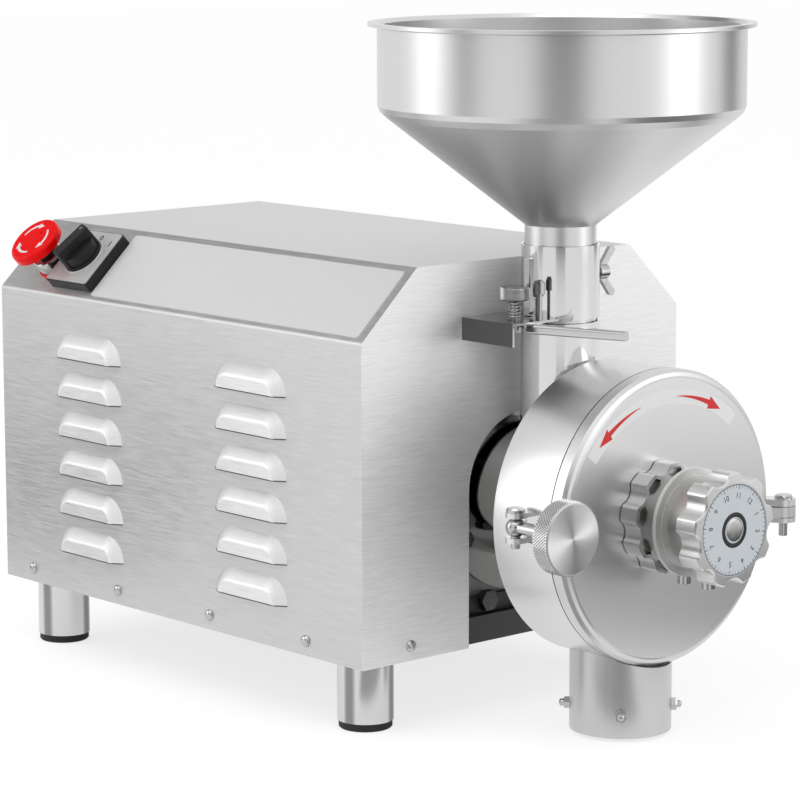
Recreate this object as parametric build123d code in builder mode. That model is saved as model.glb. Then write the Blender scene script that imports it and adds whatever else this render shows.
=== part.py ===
from build123d import *
from math import cos, radians, sin, sqrt
import os

os.makedirs("parts", exist_ok=True)

# Electric grain mill, in millimetres. X is across the machine, the grinding drum looks along -Y, Z is up.
# The origin is on the floor, in the machine's centre plane, midway between the dial and the rear panel.

# Housing
HOUSE_HALF = 145.5  # half width
HOUSE_FRONT = -105.0  # y of the front face
HOUSE_LENGTH = 398.0
HOUSE_REAR = HOUSE_FRONT + HOUSE_LENGTH
HOUSE_BOTTOM = 47.0
HOUSE_TOP = 306.4
SLOPE_WIDE = 47.9  # the sloped shoulder, across and down
SLOPE_HIGH = 45.2
SHEET = 1.5
BEND = 3.0
ARCH_X = -1.0
ARCH_Z = 152.0
ARCH_R = 50.5

# Louvres
LOUVRE_LONG = 75.0
LOUVRE_HIGH = 18.0
LOUVRE_DEEP = 6.0
LOUVRE_SHEET = 1.2
LOUVRE_TOP_Z = 226.5
LOUVRE_PITCH = 28.1
LOUVRE_ROWS = 6
LOUVRE_Y = (8.0, 188.0)

# Base pan, legs and the screws through the cover
PAN_Z = 49.0
PAN_T = 2.0
PAN_HIGH = 18.0
LEG_R = 18.8
LEG_WALL = 1.5
LEG_INSET = 27.5
CAP_R = 17.9
CAP_HIGH = 5.5
SCREW_R = 2.0
SCREW_Z = 57.0
SIDE_SCREW_Y = (-48.0, 54.0, 158.0, 260.0)
FRONT_SCREW_X = 103.4
SLIP = 0.05  # radial clearance of a shaft or screw in its hole

# Shaft line, motor and feed chamber
SHAFT_Z = 149.0
SHAFT_R = 12.5
MOTOR_R = 87.5
MOTOR_FRONT = -94.0
FRAME_FRONT = -76.0
FRAME_REAR = 165.0
MOTOR_REAR = 183.0
COWL_REAR = 214.0
BEARING_R = 31.0
BEARING_W = 17.0
STATOR_R = 52.6
ROTOR_R = 52.0
CHAMBER_R = 47.5
CHAMBER_BORE = 43.5
CHAMBER_FLANGE_R = 69.0
CHAMBER_REAR = -99.0

# Grinding drum, its cover and the outlet
DRUM_X = 10.0
DRUM_Z = 145.3
DRUM_R = 97.0
DRUM_WALL = 3.5
DRUM_REAR = -164.0
DRUM_PLATE = 4.5
SEAM_Y = -217.0
COVER_FACE = -229.0
SEAM_GAP = 0.8
SPIGOT_R = 92.5
OUTLET_X = 0.5
OUTLET_Y = -195.5
OUTLET_R = 33.6
OUTLET_WALL = 1.7
OUTLET_Z = 2.5
OUTLET_SEAT_Z = 45.5  # a chute's end goes in up to this ledge

# Burrs
BURR_R = 58.0
BURR_HOLE = 36.0
BURR_T = 8.0
CARRIER_T = 7.0
CARRIER_REAR = -171.0
BURR_GAP = 0.3  # at the finest setting
STEM_R = 17.0
STEM_FRONT = -240.0

# Adjusting head on the cover
SLEEVE_R = 30.0
SLEEVE_FRONT = -278.0
COLLAR_R = 35.3
COLLAR_Y = (-257.0, -260.0)
LOCK_R = 36.0
LOCK_Y = (-229.5, -243.5)
LOCK_RECESS = 3.5  # depth of the dished front round the sleeve
DIAL_R = 36.7
DIAL_Y = (-278.5, -295.0)
DIAL_PLATE_R = 29.8
LOBES = 9
SLEEVE_SCREW_Y = (-251.8, -273.0)
SPINDLE_R = 8.0

# Clamp at the drum's left and hinge at its right
CLAMP_X = -95.0
CLAMP_Z = 148.8
CLAMP_PIN_Y = -195.0
LUG_OFFSET = 8.0
LUG_T = 3.4
KNOB_R = 23.2
KNOB_Y = (-233.3, -246.8)
HINGE_X = 126.0
HINGE_Y = -224.0
KNUCKLE_R = 8.4
PIN_R = 3.0

# Feed tube, gate and hopper
TUBE_Y = -137.4
TUBE_R = 25.8
TUBE_BORE = 24.3
TUBE_TOP = 317.4
STOP_Z = 288.0  # the ring that the hopper's neck stands on
GATE_Z = 267.0
HANDLE_BAR = 6.4
GATE_T = 2.0
GATE_PLAY = 0.2
PIVOT_X = -40.0
PIVOT_Y = -136.0
HOPPER_TOP = 462.0
HOPPER_R = 120.2
NECK_R = 23.6
HOPPER_SHEET = 1.2

# Control panel on the left shoulder
PANEL_LONG = sqrt(SLOPE_WIDE**2 + SLOPE_HIGH**2)
SWITCH_Y = 213.5
SWITCH_SLOPE = -2.5
SWITCH_SIZE = 48.0
SWITCH_KNOB_R = 14.6
SWITCH_GRIP = (29.5, 9.4)
SWITCH_GRIP_TOP = 27.0  # above the panel
SWITCH_REST = -16.0  # degrees, where the grip points at 0
ESTOP_Y = 250.5
ESTOP_SLOPE = -7.8
ESTOP_R = 20.0
ESTOP_T = 6.5
ESTOP_HIGH = 22.0  # underside of the head above the panel, at rest

# On the rear panel
BREAKER_X = 105.0
BREAKER_Z = 100.0

SHAFT_AXIS = Axis((0, 0, SHAFT_Z), (0, 1, 0))
DRUM_AXIS = Axis((DRUM_X, 0, DRUM_Z), (0, 1, 0))
UP = (Align.CENTER, Align.CENTER, Align.MIN)
DOWN = (Align.CENTER, Align.CENTER, Align.MAX)


def facing_front(y, x=0, z=0):
    """Plane at y whose normal points to the front: local x is X and local y is Z."""
    return Plane(origin=(x, y, z), x_dir=(1, 0, 0), z_dir=(0, -1, 0))


def facing_side(side, y, z, x=HOUSE_HALF):
    """Plane on the housing's side (-1 left, 1 right) whose normal points away from it."""
    return Plane(origin=(side * x, y, z), x_dir=(0, 1, 0), z_dir=(side, 0, 0))


def on_panel(y, slope=0, height=0):
    """Plane on the left shoulder: local x runs up the slope, local y is Y, the normal points out."""
    up = Vector(SLOPE_WIDE, 0, SLOPE_HIGH).normalized()
    out = Vector(-SLOPE_HIGH, 0, SLOPE_WIDE).normalized()
    middle = Vector(SLOPE_WIDE / 2 - HOUSE_HALF, y, HOUSE_TOP - SLOPE_HIGH / 2)
    return Plane(origin=middle + up * slope + out * height, x_dir=up, z_dir=out)


def turn(points, axis=SHAFT_AXIS, mode=Mode.ADD):
    """Turns a closed outline of (radius, y) points about an axis along Y."""
    with BuildSketch(Plane(origin=(axis.position.X, 0, axis.position.Z))) as outline:
        with BuildLine():
            Polyline(*points, close=True)
        make_face()
    revolve(outline.sketch, axis=axis, mode=mode)


def turn_upright(points, x, y, mode=Mode.ADD):
    """Turns a closed outline of (radius, z) points about an upright axis at x, y."""
    with BuildSketch(facing_front(y, x)) as outline:
        with BuildLine():
            Polyline(*points, close=True)
        make_face()
    revolve(outline.sketch, axis=Axis((x, y, 0), (0, 0, 1)), mode=mode)


def disc(radius, y_rear, y_front, x=0, z=SHAFT_Z, mode=Mode.ADD):
    """Round bar along Y between two y values."""
    with BuildSketch(facing_front(y_rear, x, z)) as section:
        Circle(radius)
    extrude(section.sketch, amount=y_rear - y_front, mode=mode)


def lobed(radius, valley, y_rear, y_front):
    """Star-shaped disc about the shaft axis, with LOBES rounded lobes."""
    cut_r = 9.0
    with BuildSketch(facing_front(y_rear, 0, SHAFT_Z)) as outline:
        Circle(radius)
        with PolarLocations(valley + cut_r, LOBES, start_angle=90 + 180 / LOBES):
            Circle(cut_r, mode=Mode.SUBTRACT)
        fillet(outline.vertices(), radius=3.2)
    extrude(outline.sketch, amount=y_rear - y_front)


def house_section(inset):
    """Sketch of the housing's section, drawn in a facing_front plane."""
    with BuildSketch() as section:
        with BuildLine():
            Polyline(
                (-HOUSE_HALF, HOUSE_BOTTOM),
                (-HOUSE_HALF, HOUSE_TOP - SLOPE_HIGH),
                (SLOPE_WIDE - HOUSE_HALF, HOUSE_TOP),
                (HOUSE_HALF - SLOPE_WIDE, HOUSE_TOP),
                (HOUSE_HALF, HOUSE_TOP - SLOPE_HIGH),
                (HOUSE_HALF, HOUSE_BOTTOM),
                close=True,
            )
        make_face()
        fillet(section.vertices().sort_by(Axis.Y)[2:], radius=BEND)
        if inset:
            offset(amount=-inset, kind=Kind.INTERSECTION)
            with Locations((0, HOUSE_BOTTOM + inset)):
                Rectangle(2 * (HOUSE_HALF - inset), 2 * inset)
    return section.sketch


def write(piece, name):
    """Labels a finished piece and writes it as its own STEP file."""
    piece.label = name
    export_step(piece, f"parts/{name}.step")


# ---------------------------------------------------------------- housing


def louvre_section(plane, deep, high):
    """Half section of a louvre: a bevel from the wall at the top, then a flat front down to the lip."""
    with BuildSketch(plane) as section:
        with BuildLine():
            FilletPolyline((0, high), (deep, high * 0.55), (deep, 0), radius=4)
            Polyline((0, high), (0, 0), (deep, 0))
        make_face()
    return section.sketch


def louvre_form(deep, high, straight):
    """Pressed louvre that bulges to +X, with quarter-round ends along Y and an open underside."""
    with BuildPart() as form:
        extrude(louvre_section(Plane.XZ.offset(straight / 2), deep, high), amount=-straight)
        for end in (-1, 1):
            middle = end * straight / 2
            revolve(
                louvre_section(Plane.XZ.offset(-middle), deep, high),
                axis=Axis((0, middle, 0), (1, 0, 0)),
            )
        split(bisect_by=Plane.XY, keep=Keep.TOP)
    return form.part


louvre_straight = LOUVRE_LONG - 2 * LOUVRE_HIGH
louvre_hood = louvre_form(LOUVRE_DEEP, LOUVRE_HIGH, louvre_straight)
louvre_hollow = louvre_form(
    LOUVRE_DEEP - LOUVRE_SHEET, LOUVRE_HIGH - LOUVRE_SHEET, louvre_straight
)
with BuildPart() as louvre_gap:
    with BuildSketch(Plane.YZ.offset(-SHEET - 1)):
        RectangleRounded(
            louvre_straight + 2 * (LOUVRE_HIGH - LOUVRE_SHEET),
            2 * (LOUVRE_HIGH - LOUVRE_SHEET),
            LOUVRE_HIGH - LOUVRE_SHEET - 0.01,
        )
    extrude(amount=SHEET + 1)
    split(bisect_by=Plane.XY, keep=Keep.TOP)
louvre_spots = []
for louvre_y in LOUVRE_Y:
    for row in range(LOUVRE_ROWS):
        foot_z = LOUVRE_TOP_Z - row * LOUVRE_PITCH - LOUVRE_HIGH / 2
        louvre_spots.append(Location((HOUSE_HALF, louvre_y, foot_z), (0, 0, 0)))
        louvre_spots.append(Location((-HOUSE_HALF, louvre_y, foot_z), (0, 0, 180)))

with BuildPart() as housing_cover:
    with BuildSketch(facing_front(HOUSE_REAR)):
        add(house_section(0))
    extrude(amount=HOUSE_LENGTH)
    with BuildSketch(facing_front(HOUSE_REAR)):
        add(house_section(SHEET))
    extrude(amount=HOUSE_LENGTH - SHEET, mode=Mode.SUBTRACT)
    # Arch for the feed chamber, open at the bottom edge
    with BuildSketch(facing_front(HOUSE_FRONT + 2 * SHEET)):
        with Locations((ARCH_X, ARCH_Z)):
            Circle(ARCH_R)
            Rectangle(2 * ARCH_R, 2 * (ARCH_Z - HOUSE_BOTTOM), align=(Align.CENTER, Align.MAX))
    extrude(amount=3 * SHEET, mode=Mode.SUBTRACT)
    with Locations(*louvre_spots):
        add(louvre_hood)
    with Locations(*louvre_spots):
        add(louvre_hollow, mode=Mode.SUBTRACT)
        add(louvre_gap.part, mode=Mode.SUBTRACT)
    # Holes for the cover screws, the switch neck, the stop button and the cable gland
    for side in (-1, 1):
        for y in SIDE_SCREW_Y:
            with Locations(facing_side(side, y, SCREW_Z)):
                Hole(SCREW_R + SLIP, depth=4)
        with Locations(facing_front(HOUSE_FRONT, side * FRONT_SCREW_X, SCREW_Z)):
            Hole(SCREW_R + SLIP, depth=4)
    for y, slope in ((SWITCH_Y, SWITCH_SLOPE), (ESTOP_Y, ESTOP_SLOPE)):
        with Locations(on_panel(y, slope)):
            Hole(11 + SLIP, depth=4)
    with Locations(facing_side(1, 262, 82)):
        Hole(8 + SLIP, depth=4)
write(housing_cover.part, "housing_cover")

with BuildPart() as rear_panel:
    with BuildSketch(facing_front(HOUSE_REAR)) as rear_outline:
        add(house_section(SHEET))
        # Rows of slots where the motor fan draws its air
        with Locations((0, SHAFT_Z)):
            with GridLocations(44, 14, 3, 8):
                SlotOverall(36, 5, mode=Mode.SUBTRACT)
        with Locations((BREAKER_X, BREAKER_Z)):
            Circle(5.5 + SLIP, mode=Mode.SUBTRACT)
    extrude(amount=SHEET)
    for side in (-1, 1):
        with Locations(facing_front(HOUSE_REAR, side * FRONT_SCREW_X, SCREW_Z)):
            Hole(SCREW_R + SLIP, depth=4)
write(rear_panel.part, "rear_panel")

pan_half = HOUSE_HALF - SHEET
pan_front = HOUSE_FRONT + SHEET
pan_rear = HOUSE_REAR - SHEET
pan_middle = (pan_front + pan_rear) / 2
leg_x = HOUSE_HALF - LEG_INSET
leg_spots = [(side * leg_x, y) for side in (-1, 1) for y in (-76.3, 261.4)]
bolt_r = 4.0

with BuildPart() as base_pan:
    with Locations((0, pan_middle, PAN_Z)):
        Box(2 * pan_half, pan_rear - pan_front, PAN_HIGH, align=UP)
    with Locations((0, pan_middle, PAN_Z + PAN_T)):
        Box(
            2 * (pan_half - PAN_T),
            pan_rear - pan_front - 2 * PAN_T,
            PAN_HIGH,
            align=UP,
            mode=Mode.SUBTRACT,
        )
    with Locations(*[(x, y, PAN_Z) for x, y in leg_spots]):
        Cylinder(bolt_r + SLIP, 3 * PAN_T, mode=Mode.SUBTRACT)
    for side in (-1, 1):
        for y in SIDE_SCREW_Y:
            with Locations(facing_side(side, y, SCREW_Z, pan_half)):
                Hole(SCREW_R + SLIP, depth=4)
        with Locations(facing_front(pan_front, side * FRONT_SCREW_X, SCREW_Z)):
            Hole(SCREW_R + SLIP, depth=4)
        with Locations(facing_front(pan_rear, side * FRONT_SCREW_X, SCREW_Z)):
            Hole(SCREW_R + SLIP, depth=4)
    # Cooling air leaves through slots in the floor
    with BuildSketch(Plane.XY.offset(PAN_Z)):
        with Locations((0, 225)):
            with GridLocations(16, 1, 9, 1):
                SlotOverall(50, 7, rotation=90)
    extrude(amount=PAN_T, mode=Mode.SUBTRACT)
write(base_pan.part, "base_pan")

with BuildPart() as legs:
    for x, y in leg_spots:
        top = PAN_Z - 3
        turn_upright(
            [
                (LEG_R, CAP_HIGH),
                (LEG_R, PAN_Z),
                (bolt_r + SLIP, PAN_Z),
                (bolt_r + SLIP, top),
                (LEG_R - LEG_WALL, top),
                (LEG_R - LEG_WALL, CAP_HIGH),
            ],
            x,
            y,
        )
write(legs.part, "legs")

with BuildPart() as foot_caps:
    plug_r = LEG_R - LEG_WALL - SLIP
    for x, y in leg_spots:
        turn_upright(
            [
                (0, 0),
                (CAP_R - 1, 0),
                (CAP_R, 1),
                (CAP_R, CAP_HIGH),
                (plug_r, CAP_HIGH),
                (plug_r, CAP_HIGH + 10),
                (0, CAP_HIGH + 10),
            ],
            x,
            y,
        )
write(foot_caps.part, "foot_caps")

with BuildPart() as leg_bolts:
    for x, y in leg_spots:
        with BuildSketch(Plane((x, y, PAN_Z + PAN_T))):
            RegularPolygon(7.5, 6)
        extrude(amount=5.3)
        with Locations((x, y, PAN_Z + PAN_T)):
            Cylinder(bolt_r, 14, align=DOWN)
write(leg_bolts.part, "leg_bolts")

screw_spots = [facing_side(s, y, SCREW_Z) for s in (-1, 1) for y in SIDE_SCREW_Y]
screw_spots += [facing_front(HOUSE_FRONT, s * FRONT_SCREW_X, SCREW_Z) for s in (-1, 1)]
screw_spots += [
    Plane(origin=(s * FRONT_SCREW_X, HOUSE_REAR, SCREW_Z), x_dir=(-1, 0, 0), z_dir=(0, 1, 0))
    for s in (-1, 1)
]

with BuildPart() as cover_screws:
    for spot in screw_spots:
        with BuildSketch(spot):
            Circle(4)
        extrude(amount=2.4, taper=22)
        with BuildSketch(spot):
            Circle(SCREW_R)
        extrude(amount=-8)
        with BuildSketch(spot.offset(2.4)):
            Rectangle(4.2, 0.9)
            Rectangle(0.9, 4.2)
        extrude(amount=-1.2, mode=Mode.SUBTRACT)
write(cover_screws.part, "cover_screws")

# ---------------------------------------------------------------- control panel

with BuildPart() as rating_plate:
    with BuildSketch(on_panel(45.2, -0.5)):
        RectangleRounded(57, 286.5, 2)
    extrude(amount=0.6)
write(rating_plate.part, "rating_plate")

switch_spot = on_panel(SWITCH_Y, SWITCH_SLOPE)
switch_high = 8.0
stem_r = 5.0

with BuildPart() as switch_base:
    with BuildSketch(switch_spot):
        RectangleRounded(SWITCH_SIZE, SWITCH_SIZE, 2)
    extrude(amount=switch_high)
    with BuildSketch(switch_spot):
        Circle(11)
    extrude(amount=-6)
    # Contact block behind the panel
    with BuildSketch(switch_spot.offset(-6)):
        RectangleRounded(42, 42, 3)
    extrude(amount=-46)
    with BuildSketch(switch_spot.offset(switch_high)):
        Circle(stem_r + SLIP)
    extrude(amount=-34, mode=Mode.SUBTRACT)
write(switch_base.part, "switch_base")

with BuildPart() as switch_plate:
    with BuildSketch(switch_spot.offset(switch_high)):
        RectangleRounded(SWITCH_SIZE - 1.5, SWITCH_SIZE - 1.5, 1.5)
        Circle(stem_r + 0.3, mode=Mode.SUBTRACT)
    extrude(amount=0.8)
write(switch_plate.part, "switch_plate")

knob_foot = switch_high + 1.2
knob_grip = knob_foot + 2
with BuildPart() as switch_knob:
    with BuildSketch(switch_spot.offset(knob_foot)):
        Circle(SWITCH_KNOB_R)
    extrude(amount=2)
    with BuildSketch(switch_spot.offset(knob_grip)):
        Circle(SWITCH_KNOB_R - 1.4)
    extrude(amount=7.5)
    with BuildSketch(switch_spot.offset(knob_grip)):
        RectangleRounded(*SWITCH_GRIP, 1.8, rotation=SWITCH_REST)
    extrude(amount=SWITCH_GRIP_TOP - knob_grip)
    fillet(switch_knob.edges().group_by(Axis(switch_spot.origin, switch_spot.z_dir))[-1], radius=1)
    with BuildSketch(switch_spot.offset(knob_foot)):
        Circle(stem_r)
    extrude(amount=-33)
write(switch_knob.part, "switch_knob")

estop_spot = on_panel(ESTOP_Y, ESTOP_SLOPE)
estop_axis = Axis(estop_spot.origin, estop_spot.z_dir)
estop_stem_r = 6.0

with BuildPart() as estop_base:
    with BuildSketch(estop_spot):
        Circle(12.6)
    extrude(amount=2.5)
    with BuildSketch(estop_spot):
        Circle(11)
    extrude(amount=-17)
    with BuildSketch(estop_spot.offset(2.5)):
        Circle(estop_stem_r + SLIP)
    extrude(amount=-19.5, mode=Mode.SUBTRACT)
write(estop_base.part, "estop_base")

with BuildPart() as estop_collar:
    with BuildSketch(estop_spot.offset(2.5)):
        Circle(11.5)
        Circle(estop_stem_r + SLIP, mode=Mode.SUBTRACT)
    extrude(amount=10)
    chamfer(estop_collar.faces().sort_by(estop_axis)[-1].edges(), length=0.8)
write(estop_collar.part, "estop_collar")

with BuildPart() as estop_stem:
    with BuildSketch(estop_spot.offset(ESTOP_HIGH + 2)):
        Circle(estop_stem_r)
    extrude(amount=-ESTOP_HIGH - 13)
write(estop_stem.part, "estop_stem")

with BuildPart() as estop_button:
    with BuildSketch(estop_spot.offset(ESTOP_HIGH)):
        Circle(ESTOP_R)
    extrude(amount=ESTOP_T)
    fillet(estop_button.faces().sort_by(estop_axis)[-1].edges(), radius=2.5)
    with BuildSketch(estop_spot.offset(ESTOP_HIGH)):
        Circle(estop_stem_r + SLIP)
    extrude(amount=2 + SLIP, mode=Mode.SUBTRACT)
write(estop_button.part, "estop_button")

with BuildPart() as estop_block:
    with BuildSketch(estop_spot.offset(-17)):
        RectangleRounded(34, 26, 2)
    extrude(amount=-38)
write(estop_block.part, "estop_block")

# ---------------------------------------------------------------- electrics inside the housing

breaker_spot = Plane(origin=(BREAKER_X, HOUSE_REAR, BREAKER_Z), x_dir=(-1, 0, 0), z_dir=(0, 1, 0))
with BuildPart() as overload_breaker:
    with BuildSketch(breaker_spot):
        Circle(8)
        Circle(5.5, mode=Mode.SUBTRACT)
    extrude(amount=2)
    with BuildSketch(breaker_spot.offset(2)):
        Circle(5.5)
    extrude(amount=-2 - SHEET)
    with BuildSketch(breaker_spot.offset(-SHEET)):
        Rectangle(34, 14)
    extrude(amount=-32)
    with BuildSketch(breaker_spot.offset(2)):
        Circle(3.5 + SLIP)
    extrude(amount=-12, mode=Mode.SUBTRACT)
write(overload_breaker.part, "overload_breaker")

with BuildPart() as reset_button:
    with BuildSketch(breaker_spot.offset(5)):
        Circle(3.5)
    extrude(amount=-12)
write(reset_button.part, "reset_button")

with BuildPart() as terminal_block:
    with Locations((-116, 110, PAN_Z + PAN_T)):
        Box(22, 64, 16, align=UP)
    with BuildSketch(Plane.XY.offset(PAN_Z + PAN_T + 16)):
        with Locations((-116, 110)):
            with GridLocations(12, 12, 2, 5):
                Circle(2.6)
    extrude(amount=-6, mode=Mode.SUBTRACT)
write(terminal_block.part, "terminal_block")

with BuildPart() as capacitors:
    for y in (45, 150):
        disc(20, y + 45, y - 45, x=116, z=PAN_Z + PAN_T + 20)
    fillet(capacitors.edges().filter_by(GeomType.CIRCLE), radius=3)
write(capacitors.part, "capacitors")

gland_spot = facing_side(1, 262, 82)
with BuildPart() as cable_gland:
    with BuildSketch(gland_spot):
        RegularPolygon(11, 6)
    extrude(amount=5)
    with BuildSketch(gland_spot.offset(5)):
        Circle(9.5)
    extrude(amount=13, taper=8)
    with BuildSketch(gland_spot):
        Circle(8)
    extrude(amount=-10)
    with BuildSketch(gland_spot.offset(-SHEET)):
        RegularPolygon(12, 6)
    extrude(amount=-4)
    with BuildSketch(gland_spot.offset(18)):
        Circle(5)
    extrude(amount=-28, mode=Mode.SUBTRACT)
write(cable_gland.part, "cable_gland")

# ---------------------------------------------------------------- motor

with BuildPart() as motor_frame:
    turn([(83, FRAME_FRONT), (MOTOR_R, FRAME_FRONT), (MOTOR_R, FRAME_REAR), (83, FRAME_REAR)])
    # Cast feet down to the pan, near the rear end
    for side in (-1, 1):
        with Locations((side * 58, 125, PAN_Z + PAN_T)):
            Box(40, 44, 50, align=UP)
    disc(83, FRAME_REAR, FRAME_FRONT, mode=Mode.SUBTRACT)
write(motor_frame.part, "motor_frame")


def bell_outline(face, inward):
    """Half outline of an end bell whose outer face is at y = face and whose inside lies inward."""
    return [
        (13.5, face),
        (82, face),
        (MOTOR_R, face + inward * 6),
        (MOTOR_R, face + inward * 18),
        (82.9, face + inward * 18),
        (82.9, face + inward * 23),
        (76, face + inward * 23),
        (76, face + inward * 8),
        (38, face + inward * 8),
        (38, face + inward * 23),
        (BEARING_R, face + inward * 23),
        (BEARING_R, face + inward * 5),
        (13.5, face + inward * 5),
    ]


flange_bolt_r = 58.0
flange_bolts = 6
bracket_bolt_z = 76.0

with BuildPart() as front_bell:
    turn(bell_outline(MOTOR_FRONT, 1))
    # Block below that the bracket is bolted to
    with Locations((0, MOTOR_FRONT, PAN_Z + PAN_T + 7)):
        Box(88, 14, 26, align=(Align.CENTER, Align.MIN, Align.MIN))
    with Locations(facing_front(MOTOR_FRONT, 0, SHAFT_Z)):
        with PolarLocations(flange_bolt_r, flange_bolts, start_angle=30):
            Hole(3 + SLIP, depth=7)
    for side in (-1, 1):
        with Locations(facing_front(MOTOR_FRONT, side * 30, bracket_bolt_z)):
            Hole(bolt_r + SLIP, depth=13)
write(front_bell.part, "front_bell")

with BuildPart() as rear_bell:
    turn(bell_outline(MOTOR_REAR, -1))
write(rear_bell.part, "rear_bell")

with BuildPart() as motor_bearings:
    for rear in (MOTOR_FRONT + 5 + BEARING_W, MOTOR_REAR - 5):
        disc(BEARING_R, rear, rear - BEARING_W)
        disc(SHAFT_R + SLIP, rear, rear - BEARING_W, mode=Mode.SUBTRACT)
write(motor_bearings.part, "motor_bearings")

with BuildPart() as stator_core:
    turn([(STATOR_R, 110), (83, 110), (83, -35), (STATOR_R, -35)])
    # End turns of the winding
    for near, far in ((-35, -58), (133, 110)):
        turn([(STATOR_R + 5, near), (78, near), (78, far), (STATOR_R + 5, far)])
write(stator_core.part, "stator_core")

with BuildPart() as rotor_core:
    turn([(14, 110), (ROTOR_R, 110), (ROTOR_R, -35), (14, -35)])
    for end, step in ((110, 8), (-35, -8)):
        turn([(28, end), (46, end), (46, end + step), (28, end + step)])
write(rotor_core.part, "rotor_core")

shaft_front = CARRIER_REAR - 10
with BuildPart() as motor_shaft:
    turn(
        [
            (0, 205),
            (SHAFT_R, 205),
            (SHAFT_R, 150),
            (14, 150),
            (14, -60),
            (SHAFT_R, -60),
            (SHAFT_R, shaft_front),
            (0, shaft_front),
        ]
    )
write(motor_shaft.part, "motor_shaft")

with BuildPart() as cooling_fan:
    turn([(SHAFT_R, 204), (22, 204), (22, 190), (74, 190), (74, 187.5), (SHAFT_R, 187.5)])
    with BuildSketch(facing_front(203, 0, SHAFT_Z)):
        with PolarLocations(47, 8):
            Rectangle(52, 2.4)
    extrude(amount=14)
write(cooling_fan.part, "cooling_fan")

with BuildPart() as fan_cowl:
    turn(
        [
            (84.4, MOTOR_REAR),
            (86, MOTOR_REAR),
            (86, COWL_REAR - 5),
            (81, COWL_REAR),
            (0, COWL_REAR),
            (0, COWL_REAR - 1.6),
            (80, COWL_REAR - 1.6),
            (84.4, COWL_REAR - 6),
        ]
    )
    with BuildSketch(facing_front(COWL_REAR, 0, SHAFT_Z)):
        for ring_r, count in ((22, 6), (38, 10), (54, 14), (69, 18)):
            with PolarLocations(ring_r, count):
                SlotOverall(12, 5)
    extrude(amount=4, mode=Mode.SUBTRACT)
write(fan_cowl.part, "fan_cowl")

with BuildPart() as shaft_seal:
    turn(
        [
            (SHAFT_R + 0.08, CHAMBER_REAR + 5),
            (19, CHAMBER_REAR + 5),
            (19, CHAMBER_REAR),
            (SHAFT_R + 0.08, CHAMBER_REAR),
        ]
    )
write(shaft_seal.part, "shaft_seal")

bracket_face = MOTOR_FRONT - 4
with BuildPart() as motor_bracket:
    with Locations((0, MOTOR_FRONT, PAN_Z + PAN_T)):
        Box(120, 4, 28, align=(Align.CENTER, Align.MAX, Align.MIN))
    for side in (-1, 1):
        with Locations((side * 53, MOTOR_FRONT, PAN_Z + PAN_T)):
            Box(14, 40, 4, align=(Align.CENTER, Align.MIN, Align.MIN))
        with Locations(facing_front(bracket_face, side * 30, bracket_bolt_z)):
            Hole(bolt_r + SLIP, depth=6)
write(motor_bracket.part, "motor_bracket")

with BuildPart() as motor_bolts:
    # Bolts round the feed chamber's flange
    for spot in PolarLocations(flange_bolt_r, flange_bolts, start_angle=30):
        x = spot.position.X
        z = SHAFT_Z + spot.position.Y
        with BuildSketch(facing_front(CHAMBER_REAR, x, z)):
            RegularPolygon(5.8, 6)
        extrude(amount=4)
        disc(3, CHAMBER_REAR + 11, CHAMBER_REAR, x, z)
    # Bolts of the bracket
    for side in (-1, 1):
        with BuildSketch(facing_front(bracket_face, side * 30, bracket_bolt_z)):
            RegularPolygon(7.5, 6)
        extrude(amount=5.3)
        disc(bolt_r, bracket_face + 16, bracket_face, side * 30, bracket_bolt_z)
write(motor_bolts.part, "motor_bolts")

# ---------------------------------------------------------------- feed chamber and rotating burr

drum_inside = DRUM_REAR - DRUM_PLATE
with BuildPart() as feed_chamber:
    turn(
        [
            (19, CHAMBER_REAR + 5),
            (CHAMBER_FLANGE_R, CHAMBER_REAR + 5),
            (CHAMBER_FLANGE_R, CHAMBER_REAR),
            (CHAMBER_R, CHAMBER_REAR),
            (CHAMBER_R, drum_inside),
            (CHAMBER_BORE, drum_inside),
            (CHAMBER_BORE, CHAMBER_REAR),
            (19, CHAMBER_REAR),
        ]
    )
    with Locations((0, TUBE_Y, SHAFT_Z)):
        Cylinder(TUBE_BORE, 80, align=UP, mode=Mode.SUBTRACT)
    with Locations(facing_front(CHAMBER_REAR, 0, SHAFT_Z)):
        with PolarLocations(flange_bolt_r, flange_bolts, start_angle=30):
            Hole(3 + SLIP, depth=6)
write(feed_chamber.part, "feed_chamber")

auger_r = 42.0
auger_hub_r = 18.0
auger_pitch = 30.0
auger_turns = 1.8
auger_rear = CHAMBER_REAR - 4
auger_front = auger_rear - auger_pitch * auger_turns
flight_angle = 48.0
with BuildSketch(facing_front(auger_rear, 0, SHAFT_Z)) as auger_section:
    with BuildLine():
        flight_arc = CenterArc((0, 0), auger_r, 0, flight_angle)
        hub_arc = CenterArc((0, 0), auger_hub_r, flight_angle, 360 - flight_angle)
        Line(flight_arc @ 1, hub_arc @ 0)
        Line(hub_arc @ 1, flight_arc @ 0)
    make_face()
    Circle(SHAFT_R, mode=Mode.SUBTRACT)
# Hub and flight are one section twisted along the shaft, so it is made as a solid of its own
twisted_flight = Solid.extrude_linear_with_rotation(
    section=auger_section.sketch.faces()[0],
    center=(0, auger_rear, SHAFT_Z),
    normal=(0, auger_front - auger_rear, 0),
    angle=360 * auger_turns,
)
with BuildPart() as feed_auger:
    add(twisted_flight)
    with BuildSketch(facing_front(auger_front, 0, SHAFT_Z)):
        Circle(auger_hub_r)
        Circle(SHAFT_R, mode=Mode.SUBTRACT)
    extrude(amount=auger_front - CARRIER_REAR)
write(feed_auger.part, "feed_auger")

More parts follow.
